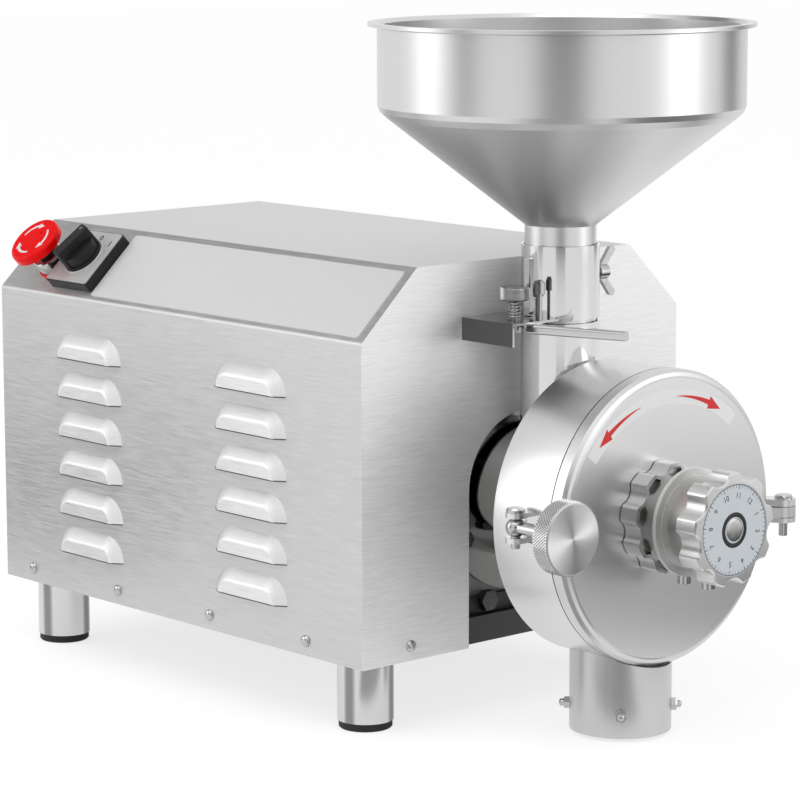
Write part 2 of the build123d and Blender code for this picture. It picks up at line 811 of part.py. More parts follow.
carrier_front = CARRIER_REAR - CARRIER_T
with BuildPart() as burr_carrier:
    with BuildSketch(facing_front(CARRIER_REAR, 0, SHAFT_Z)):
        Circle(BURR_R)
        Circle(SHAFT_R, mode=Mode.SUBTRACT)
        # Four windows that let the grain through to the burrs
        with PolarLocations(28, 4, start_angle=45):
            SlotOverall(22, 13, rotation=90, mode=Mode.SUBTRACT)
    extrude(amount=CARRIER_T)
write(burr_carrier.part, "burr_carrier")


def burr(y_rear, groove_face):
    """Flat burr ring with raked grooves sunk in one of its faces."""
    groove_deep = 2.0
    with BuildSketch(facing_front(y_rear, 0, SHAFT_Z)) as ring:
        Circle(BURR_R)
        Circle(BURR_HOLE, mode=Mode.SUBTRACT)
    extrude(ring.sketch, amount=BURR_T)
    with BuildSketch(facing_front(groove_face, 0, SHAFT_Z)) as grooves:
        with PolarLocations(BURR_HOLE + 9, 18):
            Rectangle(22, 2.6, rotation=22)
    depth = groove_deep if groove_face == y_rear else -groove_deep
    extrude(grooves.sketch, amount=depth, mode=Mode.SUBTRACT)


moving_face = carrier_front - BURR_T
with BuildPart() as moving_burr:
    burr(carrier_front, moving_face)
write(moving_burr.part, "moving_burr")

fixed_rear = moving_face - BURR_GAP
with BuildPart() as fixed_burr:
    burr(fixed_rear, fixed_rear)
write(fixed_burr.part, "fixed_burr")

fixed_front = fixed_rear - BURR_T
plate_front = fixed_front - CARRIER_T
with BuildPart() as fixed_burr_carrier:
    turn(
        [
            (0, fixed_front),
            (BURR_R, fixed_front),
            (BURR_R, plate_front + 2),
            (BURR_R - 2, plate_front),
            (STEM_R, plate_front),
            (STEM_R, STEM_FRONT),
            (SPINDLE_R + SLIP, STEM_FRONT),
            (SPINDLE_R + SLIP, plate_front),
            (0, plate_front),
        ]
    )
write(fixed_burr_carrier.part, "fixed_burr_carrier")

# ---------------------------------------------------------------- drum and outlet


def lug(outer_x, y_rear, y_front, root_x, z_low, thick):
    """Flat lug that reaches from root_x to a half-round end at outer_x."""
    with BuildSketch(Plane.XY.offset(z_low)) as outline:
        with BuildLine():
            half = (y_rear - y_front) / 2
            middle = (y_rear + y_front) / 2
            inward = half if outer_x < 0 else -half
            Line((root_x, y_rear), (outer_x + inward, y_rear))
            ThreePointArc(
                (outer_x + inward, y_rear), (outer_x, middle), (outer_x + inward, y_front)
            )
            Polyline((outer_x + inward, y_front), (root_x, y_front), (root_x, y_rear))
        make_face()
    extrude(outline.sketch, amount=thick)


def hinge_arm(y_rear, y_front, root_x, z_low, thick):
    """Arm from the drum or its cover to a round knuckle on the hinge axis."""
    with BuildSketch(Plane.XY.offset(z_low)) as outline:
        with Locations((HINGE_X, HINGE_Y)):
            Circle(KNUCKLE_R)
        with BuildLine():
            Polyline(
                (root_x, y_rear),
                (HINGE_X + 3, HINGE_Y + 7.6),
                (HINGE_X - 6, HINGE_Y - 5.5),
                (root_x + 7, y_front),
                (root_x, y_front),
                close=True,
            )
        make_face()
        with Locations((HINGE_X, HINGE_Y)):
            Circle(PIN_R + SLIP, mode=Mode.SUBTRACT)
    extrude(outline.sketch, amount=thick)


lug_heights = [CLAMP_Z + side * LUG_OFFSET - LUG_T / 2 for side in (-1, 1)]
drum_front = SEAM_Y + SEAM_GAP
hinge_low = 127.3

with BuildPart() as grinding_drum:
    turn(
        [
            (0, DRUM_REAR),
            (DRUM_R - 2, DRUM_REAR),
            (DRUM_R, DRUM_REAR - 2),
            (DRUM_R, drum_front),
            (DRUM_R - DRUM_WALL, drum_front),
            (DRUM_R - DRUM_WALL, drum_inside),
            (0, drum_inside),
        ],
        DRUM_AXIS,
    )
    disc(CHAMBER_R, DRUM_REAR + 1, drum_inside - 1, mode=Mode.SUBTRACT)
    with BuildSketch(Plane.XY.offset(DRUM_Z - DRUM_R - 5)):
        with Locations((OUTLET_X, -192)):
            RectangleRounded(56, 42, 12)
    extrude(amount=22, mode=Mode.SUBTRACT)
    for z_low in lug_heights:
        lug(CLAMP_X - 6.5, CLAMP_PIN_Y + 6.5, CLAMP_PIN_Y - 6.5, -84.5, z_low, LUG_T)
        with Locations((CLAMP_X, CLAMP_PIN_Y, z_low)):
            Cylinder(PIN_R + SLIP, 3 * LUG_T, mode=Mode.SUBTRACT)
    hinge_arm(-195, drum_front, 104.5, hinge_low, 3.3)
    hinge_arm(-195, drum_front, 104.5, hinge_low + 11.1, 4.6)
write(grinding_drum.part, "grinding_drum")

roof_gap = 0.9
spout_top = 74.0
with BuildPart() as drum_clearance:
    disc(DRUM_R + 0.02, -150, drum_front, DRUM_X, DRUM_Z)
    disc(DRUM_R + roof_gap, drum_front, -240, DRUM_X, DRUM_Z)

with BuildPart() as spout_bore:
    with Locations((OUTLET_X, OUTLET_Y, OUTLET_Z)):
        Cylinder(OUTLET_R - OUTLET_WALL, OUTLET_SEAT_Z - OUTLET_Z, align=UP)
        Cylinder(OUTLET_R - OUTLET_WALL - 0.9, spout_top - OUTLET_Z, align=UP)
    # The roof over the parts of the bore that lie outside the drum's own width
    disc(DRUM_R + roof_gap + 1.5, -150, drum_inside - 1.5, DRUM_X, DRUM_Z, mode=Mode.SUBTRACT)
    disc(DRUM_R + roof_gap + 1.5, -213, -240, DRUM_X, DRUM_Z, mode=Mode.SUBTRACT)

with BuildPart() as outlet_spout:
    with Locations((OUTLET_X, OUTLET_Y, OUTLET_Z)):
        Cylinder(OUTLET_R, spout_top - OUTLET_Z, align=UP)
    add(drum_clearance.part, mode=Mode.SUBTRACT)
    add(spout_bore.part, mode=Mode.SUBTRACT)
    for angle in (45, 135, 225, 315):
        out = (cos(radians(angle)), sin(radians(angle)), 0)
        with BuildSketch(Plane(origin=(OUTLET_X, OUTLET_Y, 18), z_dir=out)):
            Circle(2.5 + SLIP)
        extrude(amount=OUTLET_R + 2, mode=Mode.SUBTRACT)
write(outlet_spout.part, "outlet_spout")

with BuildPart() as outlet_screws:
    for angle in (45, 135, 225, 315):
        out = Vector(cos(radians(angle)), sin(radians(angle)), 0)
        start = Vector(OUTLET_X, OUTLET_Y, 18) + out * (OUTLET_R - OUTLET_WALL)
        screw_plane = Plane(origin=start, z_dir=out)
        with BuildSketch(screw_plane):
            Circle(2.5)
        extrude(amount=8.5)
        with BuildSketch(screw_plane.offset(OUTLET_WALL + 0.2)):
            RegularPolygon(4.4, 6)
        extrude(amount=3.6)
write(outlet_screws.part, "outlet_screws")

# ---------------------------------------------------------------- feed tube, gate and hopper

slot_low = GATE_Z - GATE_PLAY
slot_high = GATE_Z + GATE_T + GATE_PLAY
blade_reach = TUBE_BORE - 0.4
with BuildPart() as feed_tube:
    with Locations((0, TUBE_Y, SHAFT_Z)):
        Cylinder(TUBE_R, TUBE_TOP - SHAFT_Z, align=UP)
    disc(CHAMBER_R + 0.02, -100, -180, mode=Mode.SUBTRACT)
    # Boss for the wing bolt
    with BuildSketch(facing_side(1, TUBE_Y, 295.5, TUBE_R - 1)):
        Circle(5.6)
    extrude(amount=6)
    with Locations((0, TUBE_Y, SHAFT_Z)):
        Cylinder(TUBE_BORE, TUBE_TOP, align=UP, mode=Mode.SUBTRACT)
    # Ring inside that the hopper's neck stands on
    turn_upright(
        [(22, STOP_Z), (25, STOP_Z), (25, STOP_Z - 4), (23.5, STOP_Z - 4)], 0, TUBE_Y
    )
    with BuildSketch(facing_side(1, TUBE_Y, 295.5, TUBE_R - 4)):
        Circle(3 + SLIP)
    extrude(amount=12, mode=Mode.SUBTRACT)
    # Slot on the side that the gate blade swings out of
    with BuildSketch(Plane.XY.offset(slot_low)) as slot_outline:
        with Locations((PIVOT_X, PIVOT_Y)):
            Circle(-PIVOT_X + TUBE_BORE)
            Circle(-PIVOT_X - TUBE_BORE, mode=Mode.SUBTRACT)
        with Locations((PIVOT_X - 80, TUBE_Y)):
            Rectangle(200, 80, align=(Align.MIN, Align.MIN), mode=Mode.SUBTRACT)
    extrude(amount=slot_high - slot_low, mode=Mode.SUBTRACT)
    with Locations((-29, TUBE_Y, slot_low)):
        Box(16, 30, slot_high - slot_low, align=UP, mode=Mode.SUBTRACT)
    # Strip welded to the left of the tube
    with Locations((-TUBE_R - 0.6, TUBE_Y + 3, 272.5)):
        Box(3.2, 5, 36.5, align=UP)
write(feed_tube.part, "feed_tube")

with BuildPart() as gate_bracket:
    with BuildSketch(Plane.XY.offset(slot_high)):
        with Locations((-60, -107)):
            Rectangle(44, 48, align=(Align.MIN, Align.MAX))
        with Locations((0, TUBE_Y)):
            Circle(TUBE_R + 0.02, mode=Mode.SUBTRACT)
        with Locations((-TUBE_R - 0.6, TUBE_Y + 3)):
            Rectangle(3.4, 5.2, mode=Mode.SUBTRACT)
        with Locations((PIVOT_X, PIVOT_Y)):
            Circle(PIN_R + SLIP, mode=Mode.SUBTRACT)
    extrude(amount=1.6)
    # Down-turned end
    with Locations((-60, -107, slot_high + 1.6)):
        Box(1.6, 48, 15, align=(Align.MIN, Align.MAX, Align.MAX))
    # Round-headed stop pin
    turn_upright(
        [(0, slot_high), (1.9, slot_high), (1.9, 288), (3.8, 288), (3.8, 295), (2.4, 297), (0, 297)],
        -33.5,
        -152,
    )
write(gate_bracket.part, "gate_bracket")

handle_start = Vector(-41, -150, GATE_Z + GATE_T)
handle = Vector(-19, -217, GATE_Z + GATE_T) - handle_start
with BuildPart() as gate_lever:
    with BuildSketch(Plane.XY.offset(GATE_Z)):
        with Locations((0, TUBE_Y)):
            Circle(blade_reach)
        with Locations((PIVOT_X, PIVOT_Y)):
            Circle(10)
        with Locations((PIVOT_X, PIVOT_Y)):
            Rectangle(24, 20, align=(Align.MIN, Align.CENTER))
        with Locations((PIVOT_X, PIVOT_Y)):
            Rectangle(12, 15, align=(Align.CENTER, Align.MAX))
    extrude(amount=GATE_T)
    with BuildSketch(Plane(origin=handle_start - (0, 0, HANDLE_BAR / 2), z_dir=handle)):
        RectangleRounded(HANDLE_BAR, HANDLE_BAR, 2)
    extrude(amount=handle.length)
    with Locations((PIVOT_X, PIVOT_Y, GATE_Z)):
        Cylinder(PIN_R + SLIP, 12, mode=Mode.SUBTRACT)
write(gate_lever.part, "gate_lever")

with BuildPart() as gate_screw:
    turn_upright(
        [
            (0, 292),
            (8.2, 292),
            (9, 291.2),
            (9, 283.8),
            (8.2, 283),
            (PIN_R, 283),
            (PIN_R, GATE_Z - GATE_PLAY),
            (5.2, GATE_Z - GATE_PLAY),
            (5.2, GATE_Z - 5),
            (0, GATE_Z - 5),
        ],
        PIVOT_X,
        PIVOT_Y,
    )
write(gate_screw.part, "gate_screw")

spring_wire = 0.55
spring_r = 4.2
spring_foot = slot_high + 1.6 + spring_wire
with BuildPart() as gate_spring:
    with BuildLine(Plane((PIVOT_X, PIVOT_Y, spring_foot + 0.05))) as spring_path:
        Helix(2.2, 283 - spring_foot - spring_wire - 0.1, spring_r)
    with BuildSketch(Plane(spring_path.line @ 0, z_dir=spring_path.line % 0)):
        Circle(spring_wire)
    sweep(is_frenet=True)
write(gate_spring.part, "gate_spring")

neck_foot = STOP_Z
with BuildPart() as hopper:
    inner_neck = NECK_R - HOPPER_SHEET
    turn_upright(
        [
            (NECK_R, neck_foot),
            (NECK_R, 330),
            (114, 400),
            (118.6, 404.3),
            (HOPPER_R, 408),
            (HOPPER_R, 458.6),
            (122.6, 459.6),
            (HOPPER_R + 6.1, 459.6),
            (HOPPER_R + 6.1, HOPPER_TOP),
            (120.6, HOPPER_TOP),
            (HOPPER_R - HOPPER_SHEET, 459.5),
            (HOPPER_R - HOPPER_SHEET, 408.3),
            (117.5, 405),
            (113.2, 401),
            (inner_neck, 330.6),
            (inner_neck, neck_foot),
        ],
        0,
        TUBE_Y,
    )
write(hopper.part, "hopper")

with BuildPart() as wing_bolt:
    with BuildSketch(facing_side(1, TUBE_Y, 295.5, NECK_R + 0.3)):
        Circle(3)
    extrude(amount=17)
    with BuildSketch(facing_side(1, TUBE_Y, 295.5, 34)):
        Circle(5)
    extrude(amount=8)
    # Two wings that lean outward
    for side in (-1, 1):
        with BuildSketch(Plane(origin=(0, TUBE_Y, 0), x_dir=(1, 0, 0), z_dir=(0, -1, 0))) as wing:
            with BuildLine():
                Polyline(
                    (35, 295.5 + side * 3),
                    (41, 295.5 + side * 3),
                    (50, 295.5 + side * 14),
                    (48, 295.5 + side * 17),
                    (45, 295.5 + side * 16),
                    close=True,
                )
            make_face()
            fillet(wing.vertices().sort_by(Axis.X)[-3:], radius=1)
        extrude(amount=1.5, both=True)
write(wing_bolt.part, "wing_bolt")

# ---------------------------------------------------------------- drum cover, hinge and clamp

with BuildPart() as drum_cover:
    turn(
        [
            (0, COVER_FACE),
            (DRUM_R - 5.5, COVER_FACE),
            (DRUM_R - 4.5, COVER_FACE + 1.2),
            (DRUM_R - 2, COVER_FACE + 1.8),
            (DRUM_R, COVER_FACE + 4),
            (DRUM_R, SEAM_Y),
            (SPIGOT_R, SEAM_Y),
            (SPIGOT_R, SEAM_Y + 4),
            (SPIGOT_R - 3, SEAM_Y + 4),
            (SPIGOT_R - 3, COVER_FACE + 4),
            (0, COVER_FACE + 4),
        ],
        DRUM_AXIS,
    )
    # Boss that carries the sleeve
    disc(38, COVER_FACE + 12, COVER_FACE + 3)
    disc(26, COVER_FACE + 13, COVER_FACE - 1, mode=Mode.SUBTRACT)
    for z_low in lug_heights:
        with BuildSketch(Plane.XY.offset(z_low)):
            with BuildLine():
                Polyline(
                    (-84, SEAM_Y - 0.2),
                    (-84, COVER_FACE - 0.3),
                    (-101.5, COVER_FACE - 0.3),
                    (-101.5, -212),
                    (-88.4, -212),
                    (-88.4, SEAM_Y - 0.2),
                    close=True,
                )
            make_face()
        extrude(amount=LUG_T)
    hinge_arm(SEAM_Y - 0.2, COVER_FACE + 3, 104, hinge_low + 3.7, 7)
write(drum_cover.part, "drum_cover")

with BuildPart() as hinge_pin:
    turn_upright(
        [
            (0, 117.3),
            (PIN_R - 0.5, 117.3),
            (PIN_R, 117.8),
            (PIN_R, hinge_low + 15.7),
            (6, hinge_low + 15.7),
            (6, hinge_low + 17.3),
            (5.2, hinge_low + 18.1),
            (0, hinge_low + 18.1),
        ],
        HINGE_X,
        HINGE_Y,
    )
write(hinge_pin.part, "hinge_pin")

pin_head_z = CLAMP_Z + LUG_OFFSET + LUG_T / 2
with BuildPart() as clamp_pin:
    turn_upright(
        [
            (0, 135),
            (PIN_R - 0.5, 135),
            (PIN_R, 135.5),
            (PIN_R, pin_head_z),
            (6, pin_head_z),
            (6, pin_head_z + 2),
            (5, pin_head_z + 3),
            (0, pin_head_z + 3),
        ],
        CLAMP_X,
        CLAMP_PIN_Y,
    )
write(clamp_pin.part, "clamp_pin")

rod_r = 4.0
rod_end = -238.0
with BuildPart() as clamp_bolt:
    with Locations((CLAMP_X, CLAMP_PIN_Y, CLAMP_Z)):
        Sphere(6.4)
    disc(rod_r, CLAMP_PIN_Y, rod_end, CLAMP_X, CLAMP_Z)
    with Locations((CLAMP_X, CLAMP_PIN_Y, CLAMP_Z)):
        Cylinder(PIN_R + SLIP, 20, mode=Mode.SUBTRACT)
write(clamp_bolt.part, "clamp_bolt")

hub_rear = COVER_FACE - 0.6
with BuildPart() as clamp_knob:
    turn(
        [
            (rod_r + 1, hub_rear),
            (9, hub_rear),
            (9, KNOB_Y[0]),
            (KNOB_R - 1, KNOB_Y[0]),
            (KNOB_R, KNOB_Y[0] - 1),
            (KNOB_R, KNOB_Y[1] + 1),
            (KNOB_R - 1, KNOB_Y[1]),
            (0, KNOB_Y[1]),
            (0, rod_end - 2),
            (rod_r + 1, rod_end - 2),
        ],
        Axis((CLAMP_X, 0, CLAMP_Z), (0, 1, 0)),
    )
write(clamp_knob.part, "clamp_knob")

# ---------------------------------------------------------------- adjusting head

spindle_collar = -266.0
with BuildPart() as bearing_sleeve:
    turn(
        [
            (STEM_R + SLIP, COVER_FACE + 12),
            (26, COVER_FACE + 12),
            (26, COVER_FACE),
            (SLEEVE_R, COVER_FACE),
            (SLEEVE_R, COLLAR_Y[0]),
            (COLLAR_R, COLLAR_Y[0]),
            (COLLAR_R, COLLAR_Y[1]),
            (SLEEVE_R, COLLAR_Y[1]),
            (SLEEVE_R, SLEEVE_FRONT),
            (10 + SLIP, SLEEVE_FRONT),
            (10 + SLIP, spindle_collar - 4.1),
            (STEM_R + SLIP, spindle_collar - 4.1),
        ]
    )
    for y in SLEEVE_SCREW_Y:
        with BuildSketch(Plane(origin=(0, y, SHAFT_Z - SLEEVE_R), z_dir=(0, 0, -1))):
            Circle(2.5 + SLIP)
        extrude(amount=-9, mode=Mode.SUBTRACT)
write(bearing_sleeve.part, "bearing_sleeve")

with BuildPart() as sleeve_screws:
    for y in SLEEVE_SCREW_Y:
        foot = Plane(origin=(0, y, SHAFT_Z - SLEEVE_R), z_dir=(0, 0, -1))
        with BuildSketch(foot.offset(-8)):
            Circle(2.5)
        extrude(amount=11)
        with BuildSketch(foot.offset(2.5)):
            Circle(4.5)
        extrude(amount=8.5)
        with BuildSketch(foot.offset(11)):
            RegularPolygon(2.4, 6)
        extrude(amount=-4, mode=Mode.SUBTRACT)
write(sleeve_screws.part, "sleeve_screws")

with BuildPart() as lock_ring:
    lobed(LOCK_R, 31.8, LOCK_Y[0], LOCK_Y[1])
    # Dished front, so that the lobed wall stands round the sleeve
    with BuildSketch(facing_front(LOCK_Y[1] + LOCK_RECESS, 0, SHAFT_Z)) as hollow:
        Circle(LOCK_R - 2.6)
        with PolarLocations(31.8 + 6.4, LOBES, start_angle=90 + 180 / LOBES):
            Circle(9, mode=Mode.SUBTRACT)
        fillet(hollow.vertices(), radius=1)
    extrude(amount=20, mode=Mode.SUBTRACT)
    disc(SLEEVE_R + SLIP, LOCK_Y[0] + 1, LOCK_Y[1] - 1, mode=Mode.SUBTRACT)
write(lock_ring.part, "lock_ring")

with BuildPart() as dial_knob:
    lobed(DIAL_R, 31.6, DIAL_Y[0], DIAL_Y[1])
    chamfer(
        dial_knob.faces().sort_by(Axis.Y)[0].outer_wire().edges(),
        length=1,
    )
    disc(DIAL_PLATE_R + SLIP, DIAL_Y[1] + 1.4, DIAL_Y[1] - 1, mode=Mode.SUBTRACT)
    disc(10, DIAL_Y[0] + 1, DIAL_Y[1] + 4, mode=Mode.SUBTRACT)
write(dial_knob.part, "dial_knob")

with BuildPart() as dial_plate:
    disc(DIAL_PLATE_R, DIAL_Y[1] + 1.4, DIAL_Y[1] + 0.4)
write(dial_plate.part, "dial_plate")

with BuildPart() as adjusting_spindle:
    turn(
        [
            (0, plate_front - 9),
            (SPINDLE_R, plate_front - 9),
            (SPINDLE_R, spindle_collar + 4),
            (16, spindle_collar + 4),
            (16, spindle_collar - 4),
            (10, spindle_collar - 4),
            (10, DIAL_Y[1] + 4),
            (0, DIAL_Y[1] + 4),
        ]
    )
write(adjusting_spindle.part, "adjusting_spindle")
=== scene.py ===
import math

import bmesh
import bpy
from mathutils import Matrix, Vector


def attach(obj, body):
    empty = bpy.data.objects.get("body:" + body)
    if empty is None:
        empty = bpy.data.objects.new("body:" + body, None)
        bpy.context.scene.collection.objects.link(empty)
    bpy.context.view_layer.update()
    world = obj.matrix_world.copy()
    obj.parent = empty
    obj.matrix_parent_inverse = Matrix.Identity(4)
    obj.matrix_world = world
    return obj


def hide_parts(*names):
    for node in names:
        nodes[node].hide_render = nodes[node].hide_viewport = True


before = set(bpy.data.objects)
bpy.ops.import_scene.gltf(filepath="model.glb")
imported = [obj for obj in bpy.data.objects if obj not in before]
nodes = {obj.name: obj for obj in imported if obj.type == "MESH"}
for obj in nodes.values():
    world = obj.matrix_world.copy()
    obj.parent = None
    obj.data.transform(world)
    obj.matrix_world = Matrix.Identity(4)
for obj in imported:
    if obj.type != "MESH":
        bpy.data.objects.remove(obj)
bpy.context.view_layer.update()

# ------------------------------------------------------------------ camera
# A long lens, a little above the mill and off its front left corner, so that the drum, the controls
# and both columns of louvres show.


def add_to_scene(name, data):
    """Puts a mesh, a curve, a lamp or a camera in the scene as an object."""
    made = bpy.data.objects.new(name, data)
    bpy.context.scene.collection.objects.link(made)
    return made


camera = add_to_scene("camera", bpy.data.cameras.new("camera"))
camera.data.sensor_width = 36
camera.data.lens = 145.99
camera.data.clip_end = 50
camera_right = Vector((0.745873, -0.666086, -0.001788))
camera_up = Vector((0.108776, 0.119157, 0.986899))
camera_place = Vector((-1.489187, -1.647453, 0.559443))
camera.matrix_world = Matrix.Translation(camera_place) @ Matrix(
    (camera_right, camera_up, camera_right.cross(camera_up))
).transposed().to_4x4()
bpy.context.scene.camera = camera
bpy.context.scene.view_settings.view_transform = "Standard"

# ------------------------------------------------------------------ table and light
# A wide white table in a white room, with one soft lamp on each side and one above. Matt cards
# beside the lens, behind the mill and on the table give polished steel something darker to mirror.


def put(tree, kind, inputs, **settings):
    """Adds a node to a tree. An input's value is a number or another node's output."""
    made = tree.nodes.new(kind)
    for setting, value in settings.items():
        setattr(made, setting, value)
    for socket, value in inputs.items():
        if isinstance(value, bpy.types.NodeSocket):
            tree.links.new(value, made.inputs[socket])
        else:
            made.inputs[socket].default_value = value
    return made


def calculate(tree, sum_kind, *numbers):
    """One step of arithmetic in a tree."""
    return put(tree, "ShaderNodeMath", dict(enumerate(numbers)), operation=sum_kind).outputs[0]


def times(tree, *numbers):
    """Two numbers multiplied in a tree."""
    return calculate(tree, "MULTIPLY", *numbers)


def mesh_piece(name, points, faces, finish=None):
    """A piece made of corner points, in millimetres, and faces."""
    mesh = bpy.data.meshes.new(name)
    mesh.from_pydata([Vector(point) / 1000 for point in points], [], faces)
    mesh.update()
    if finish:
        mesh.materials.append(finish)
    return add_to_scene(name, mesh)


def heading(bearing):
    """The level direction of a bearing in degrees, counted from X towards Y."""
    return math.cos(math.radians(bearing)), math.sin(math.radians(bearing)), 0


def seen_directly(tree):
    """1 for rays that show the surroundings: in the picture, in gloss or through glass."""
    ray = tree.nodes.new("ShaderNodeLightPath").outputs
    either = calculate(tree, "MAXIMUM", ray["Is Camera Ray"], ray["Is Glossy Ray"])
    return calculate(tree, "MAXIMUM", either, ray["Is Transmission Ray"])


room = bpy.data.worlds.new("room")
bpy.context.scene.world = room
room.use_nodes = True
room_light = room.node_tree.nodes["Background"]
room_light.inputs["Color"].default_value = (1, 1, 1, 1)
light_given, light_seen = 0.62, 1.0
room_shown = put(
    room.node_tree,
    "ShaderNodeMix",
    {0: seen_directly(room.node_tree), 2: light_given, 3: light_seen},
    data_type="FLOAT",
)
room.node_tree.links.new(room_shown.outputs[0], room_light.inputs["Strength"])

table_finish = bpy.data.materials.new("table_white")
table_finish.use_nodes = True
table_tree = table_finish.node_tree
table_shader = table_tree.nodes["Principled BSDF"]
table_shader.inputs["Base Color"].default_value = (0.9, 0.9, 0.9, 1)
table_shader.inputs["Roughness"].default_value = 0.9
table_shader.inputs["Specular IOR Level"].default_value = 0.1
table_glow = put(table_tree, "ShaderNodeEmission", {"Color": (1, 1, 1, 1), "Strength": 1.24})
glow_part = 0.62
table_share = times(table_tree, seen_directly(table_tree), glow_part)
table_mix = put(
    table_tree,
    "ShaderNodeMixShader",
    {0: table_share, 1: table_shader.outputs[0], 2: table_glow.outputs[0]},
)
table_tree.links.new(table_mix.outputs[0], table_tree.nodes["Material Output"].inputs["Surface"])
table = mesh_piece(
    "table",
    [(-9000, -9000, 0), (9000, -9000, 0), (9000, 9000, 0), (-9000, 9000, 0)],
    [(0, 1, 2, 3)],
    table_finish,
)


def card(name, shade, corners):
    """A matt card, corners in mm, that only gloss shows: unseen by the lens, without a shadow."""
    finish = bpy.data.materials.new(name)
    finish.use_nodes = True
    card_shader = finish.node_tree.nodes["Principled BSDF"]
    card_shader.inputs["Base Color"].default_value = (shade, shade, shade, 1)
    card_shader.inputs["Roughness"].default_value = 1.0
    piece = mesh_piece(name, corners, [(0, 1, 2, 3)], finish)
    piece.visible_camera = False
    piece.visible_shadow = False
    piece.visible_diffuse = False


# Upright cards: bearing in degrees, and width in mm.
card_dark, card_away = 0.1, 2700
card_low, card_high = Vector((0, 0, 5)), Vector((0, 0, 1200))
upright_cards = (("card_lens", -132, 1300), ("card_left", 168, 700), ("card_right", -12, 900))
for card_name, bearing, wide in upright_cards:
    ahead = Vector(heading(bearing))
    sideways = Vector((-ahead.y, ahead.x, 0)) * wide / 2
    first, last = ahead * card_away - sideways, ahead * card_away + sideways
    corners = [first + card_low, last + card_low, last + card_high, first + card_high]
    card(card_name, card_dark, corners)
# One card hangs behind and above the mill, and three lie on the table.
behind = ((-560, 900, 1900), (700, 900, 1900), (700, 2100, 1300), (-560, 2100, 1300))
card("card_behind", card_dark, behind)
card("card_left_table", 0.2, ((-329, 330, 2), (-1130, 1230, 2), (-1130, 1705, 2), (-329, 806, 2)))
card("card_table", 0.15, ((-120, -665, 2), (481, -112, 2), (872, -476, 2), (192, -1092, 2)))
card("card_floor", 0.5, ((-214, -118, 2), (-1288, -1064, 2), (-842, -1466, 2), (-10, -289, 2)))

# Soft lamps: bearing in degrees, then in metres the middle's distance and height and the panel's
# width and height, and last the glow.
for lamp_name, bearing, away, middle_z, wide, high, glow in (
    ("lamp_left", 140, 2.3, 0.85, 0.9, 1.5, 1.45),
    ("lamp_right", -58, 2.3, 0.8, 0.9, 1.5, 1.5),
    ("lamp_above", 200, 0.9, 2.2, 1.6, 1.6, 1.4),
):
    lamp = add_to_scene(lamp_name, bpy.data.lights.new(lamp_name, "AREA"))
    lamp.data.shape = "RECTANGLE"
    lamp.data.size = wide
    lamp.data.size_y = high
    lamp.data.energy = glow * math.pi * wide * high
    east, north = heading(bearing)[:2]
    spot = Vector((east * away, north * away, middle_z))
    lamp.location = spot
    lamp.rotation_euler = (Vector((0, 0, 0.25)) - spot).to_track_quat("-Z", "Y").to_euler()

# ------------------------------------------------------------------ housing
# The housing is folded from 1.5 mm stainless sheet, brushed along its length, with the louvres
# pressed out of both sides. The rear panel is the same sheet with slots for the fan's air.


def new_finish(name, colour, roughness, **sockets):
    """A finish with its shader's own values set. Returns the finish, its tree and its shader."""
    finish = bpy.data.materials.new(name)
    finish.use_nodes = True
    shader = finish.node_tree.nodes["Principled BSDF"]
    shader.inputs["Base Color"].default_value = (*colour, 1)
    shader.inputs["Roughness"].default_value = roughness
    for socket, value in sockets.items():
        shader.inputs[socket.replace("_", " ")].default_value = value
    return finish, finish.node_tree, shader


def axes(tree, of="Object"):
    """The x, y and z of a point's own place, or of the way its surface faces if of is Normal."""
    coordinates = tree.nodes.new("ShaderNodeTexCoord")
    return put(tree, "ShaderNodeSeparateXYZ", {0: coordinates.outputs[of]}).outputs


def plus(tree, *numbers):
    """Two numbers added in a tree."""
    return calculate(tree, "ADD", *numbers)


def minus(tree, *numbers):
    """The second number taken from the first in a tree."""
    return calculate(tree, "SUBTRACT", *numbers)


def place_of(tree, x=0.0, y=0.0, z=0.0):
    """A place, a size or a turn put together from its three numbers."""
    return put(tree, "ShaderNodeCombineXYZ", {0: x, 1: y, 2: z}).outputs[0]


def scaled(tree, vector, factor):
    """A colour or a direction multiplied by a number."""
    wanted = {0: vector, "Scale": factor}
    return put(tree, "ShaderNodeVectorMath", wanted, operation="SCALE").outputs[0]


def grain_along_sheet(tree, fine):
    """Brush lines that run level on upright sheet, and along Y on a roof or a slope."""
    x, y, z = axes(tree)
    tilt = calculate(tree, "ABSOLUTE", axes(tree, "Normal")[2])
    across = plus(tree, z, times(tree, x, tilt))
    return place_of(tree, times(tree, x, 46.0), times(tree, y, 46.0), times(tree, across, fine))


shaft_z = 149.0


def grain_round_axis(tree, fine, x_mm=0.0, z_mm=shaft_z):
    """Lathe lines: rings about an axis along Y, on a bar's side and on its end face."""
    x, y, z = axes(tree)
    dx = minus(tree, x, x_mm / 1000)
    dz = minus(tree, z, z_mm / 1000)
    radius = calculate(tree, "SQRT", plus(tree, times(tree, dx, dx), times(tree, dz, dz)))
    rings = times(tree, plus(tree, y, radius), fine)
    return place_of(tree, times(tree, dx, 30.0), rings, times(tree, dz, 30.0))


tube_y = -137.4


def grain_upright(tree, fine, x_mm=0.0, y_mm=tube_y):
    """Brush lines that run up and down a round form about an upright axis."""
    x, y, z = axes(tree)
    outward = place_of(tree, minus(tree, x, x_mm / 1000), minus(tree, y, y_mm / 1000))
    away = put(tree, "ShaderNodeVectorMath", {0: outward}, operation="NORMALIZE").outputs[0]
    sides = put(tree, "ShaderNodeSeparateXYZ", {0: scaled(tree, away, fine)}).outputs
    return place_of(tree, sides[0], sides[1], times(tree, z, 14.0))


def shade_of(colour, factor):
    """A colour made darker or paler by a factor."""
    return (*[min(1.0, part * factor) for part in colour], 1)


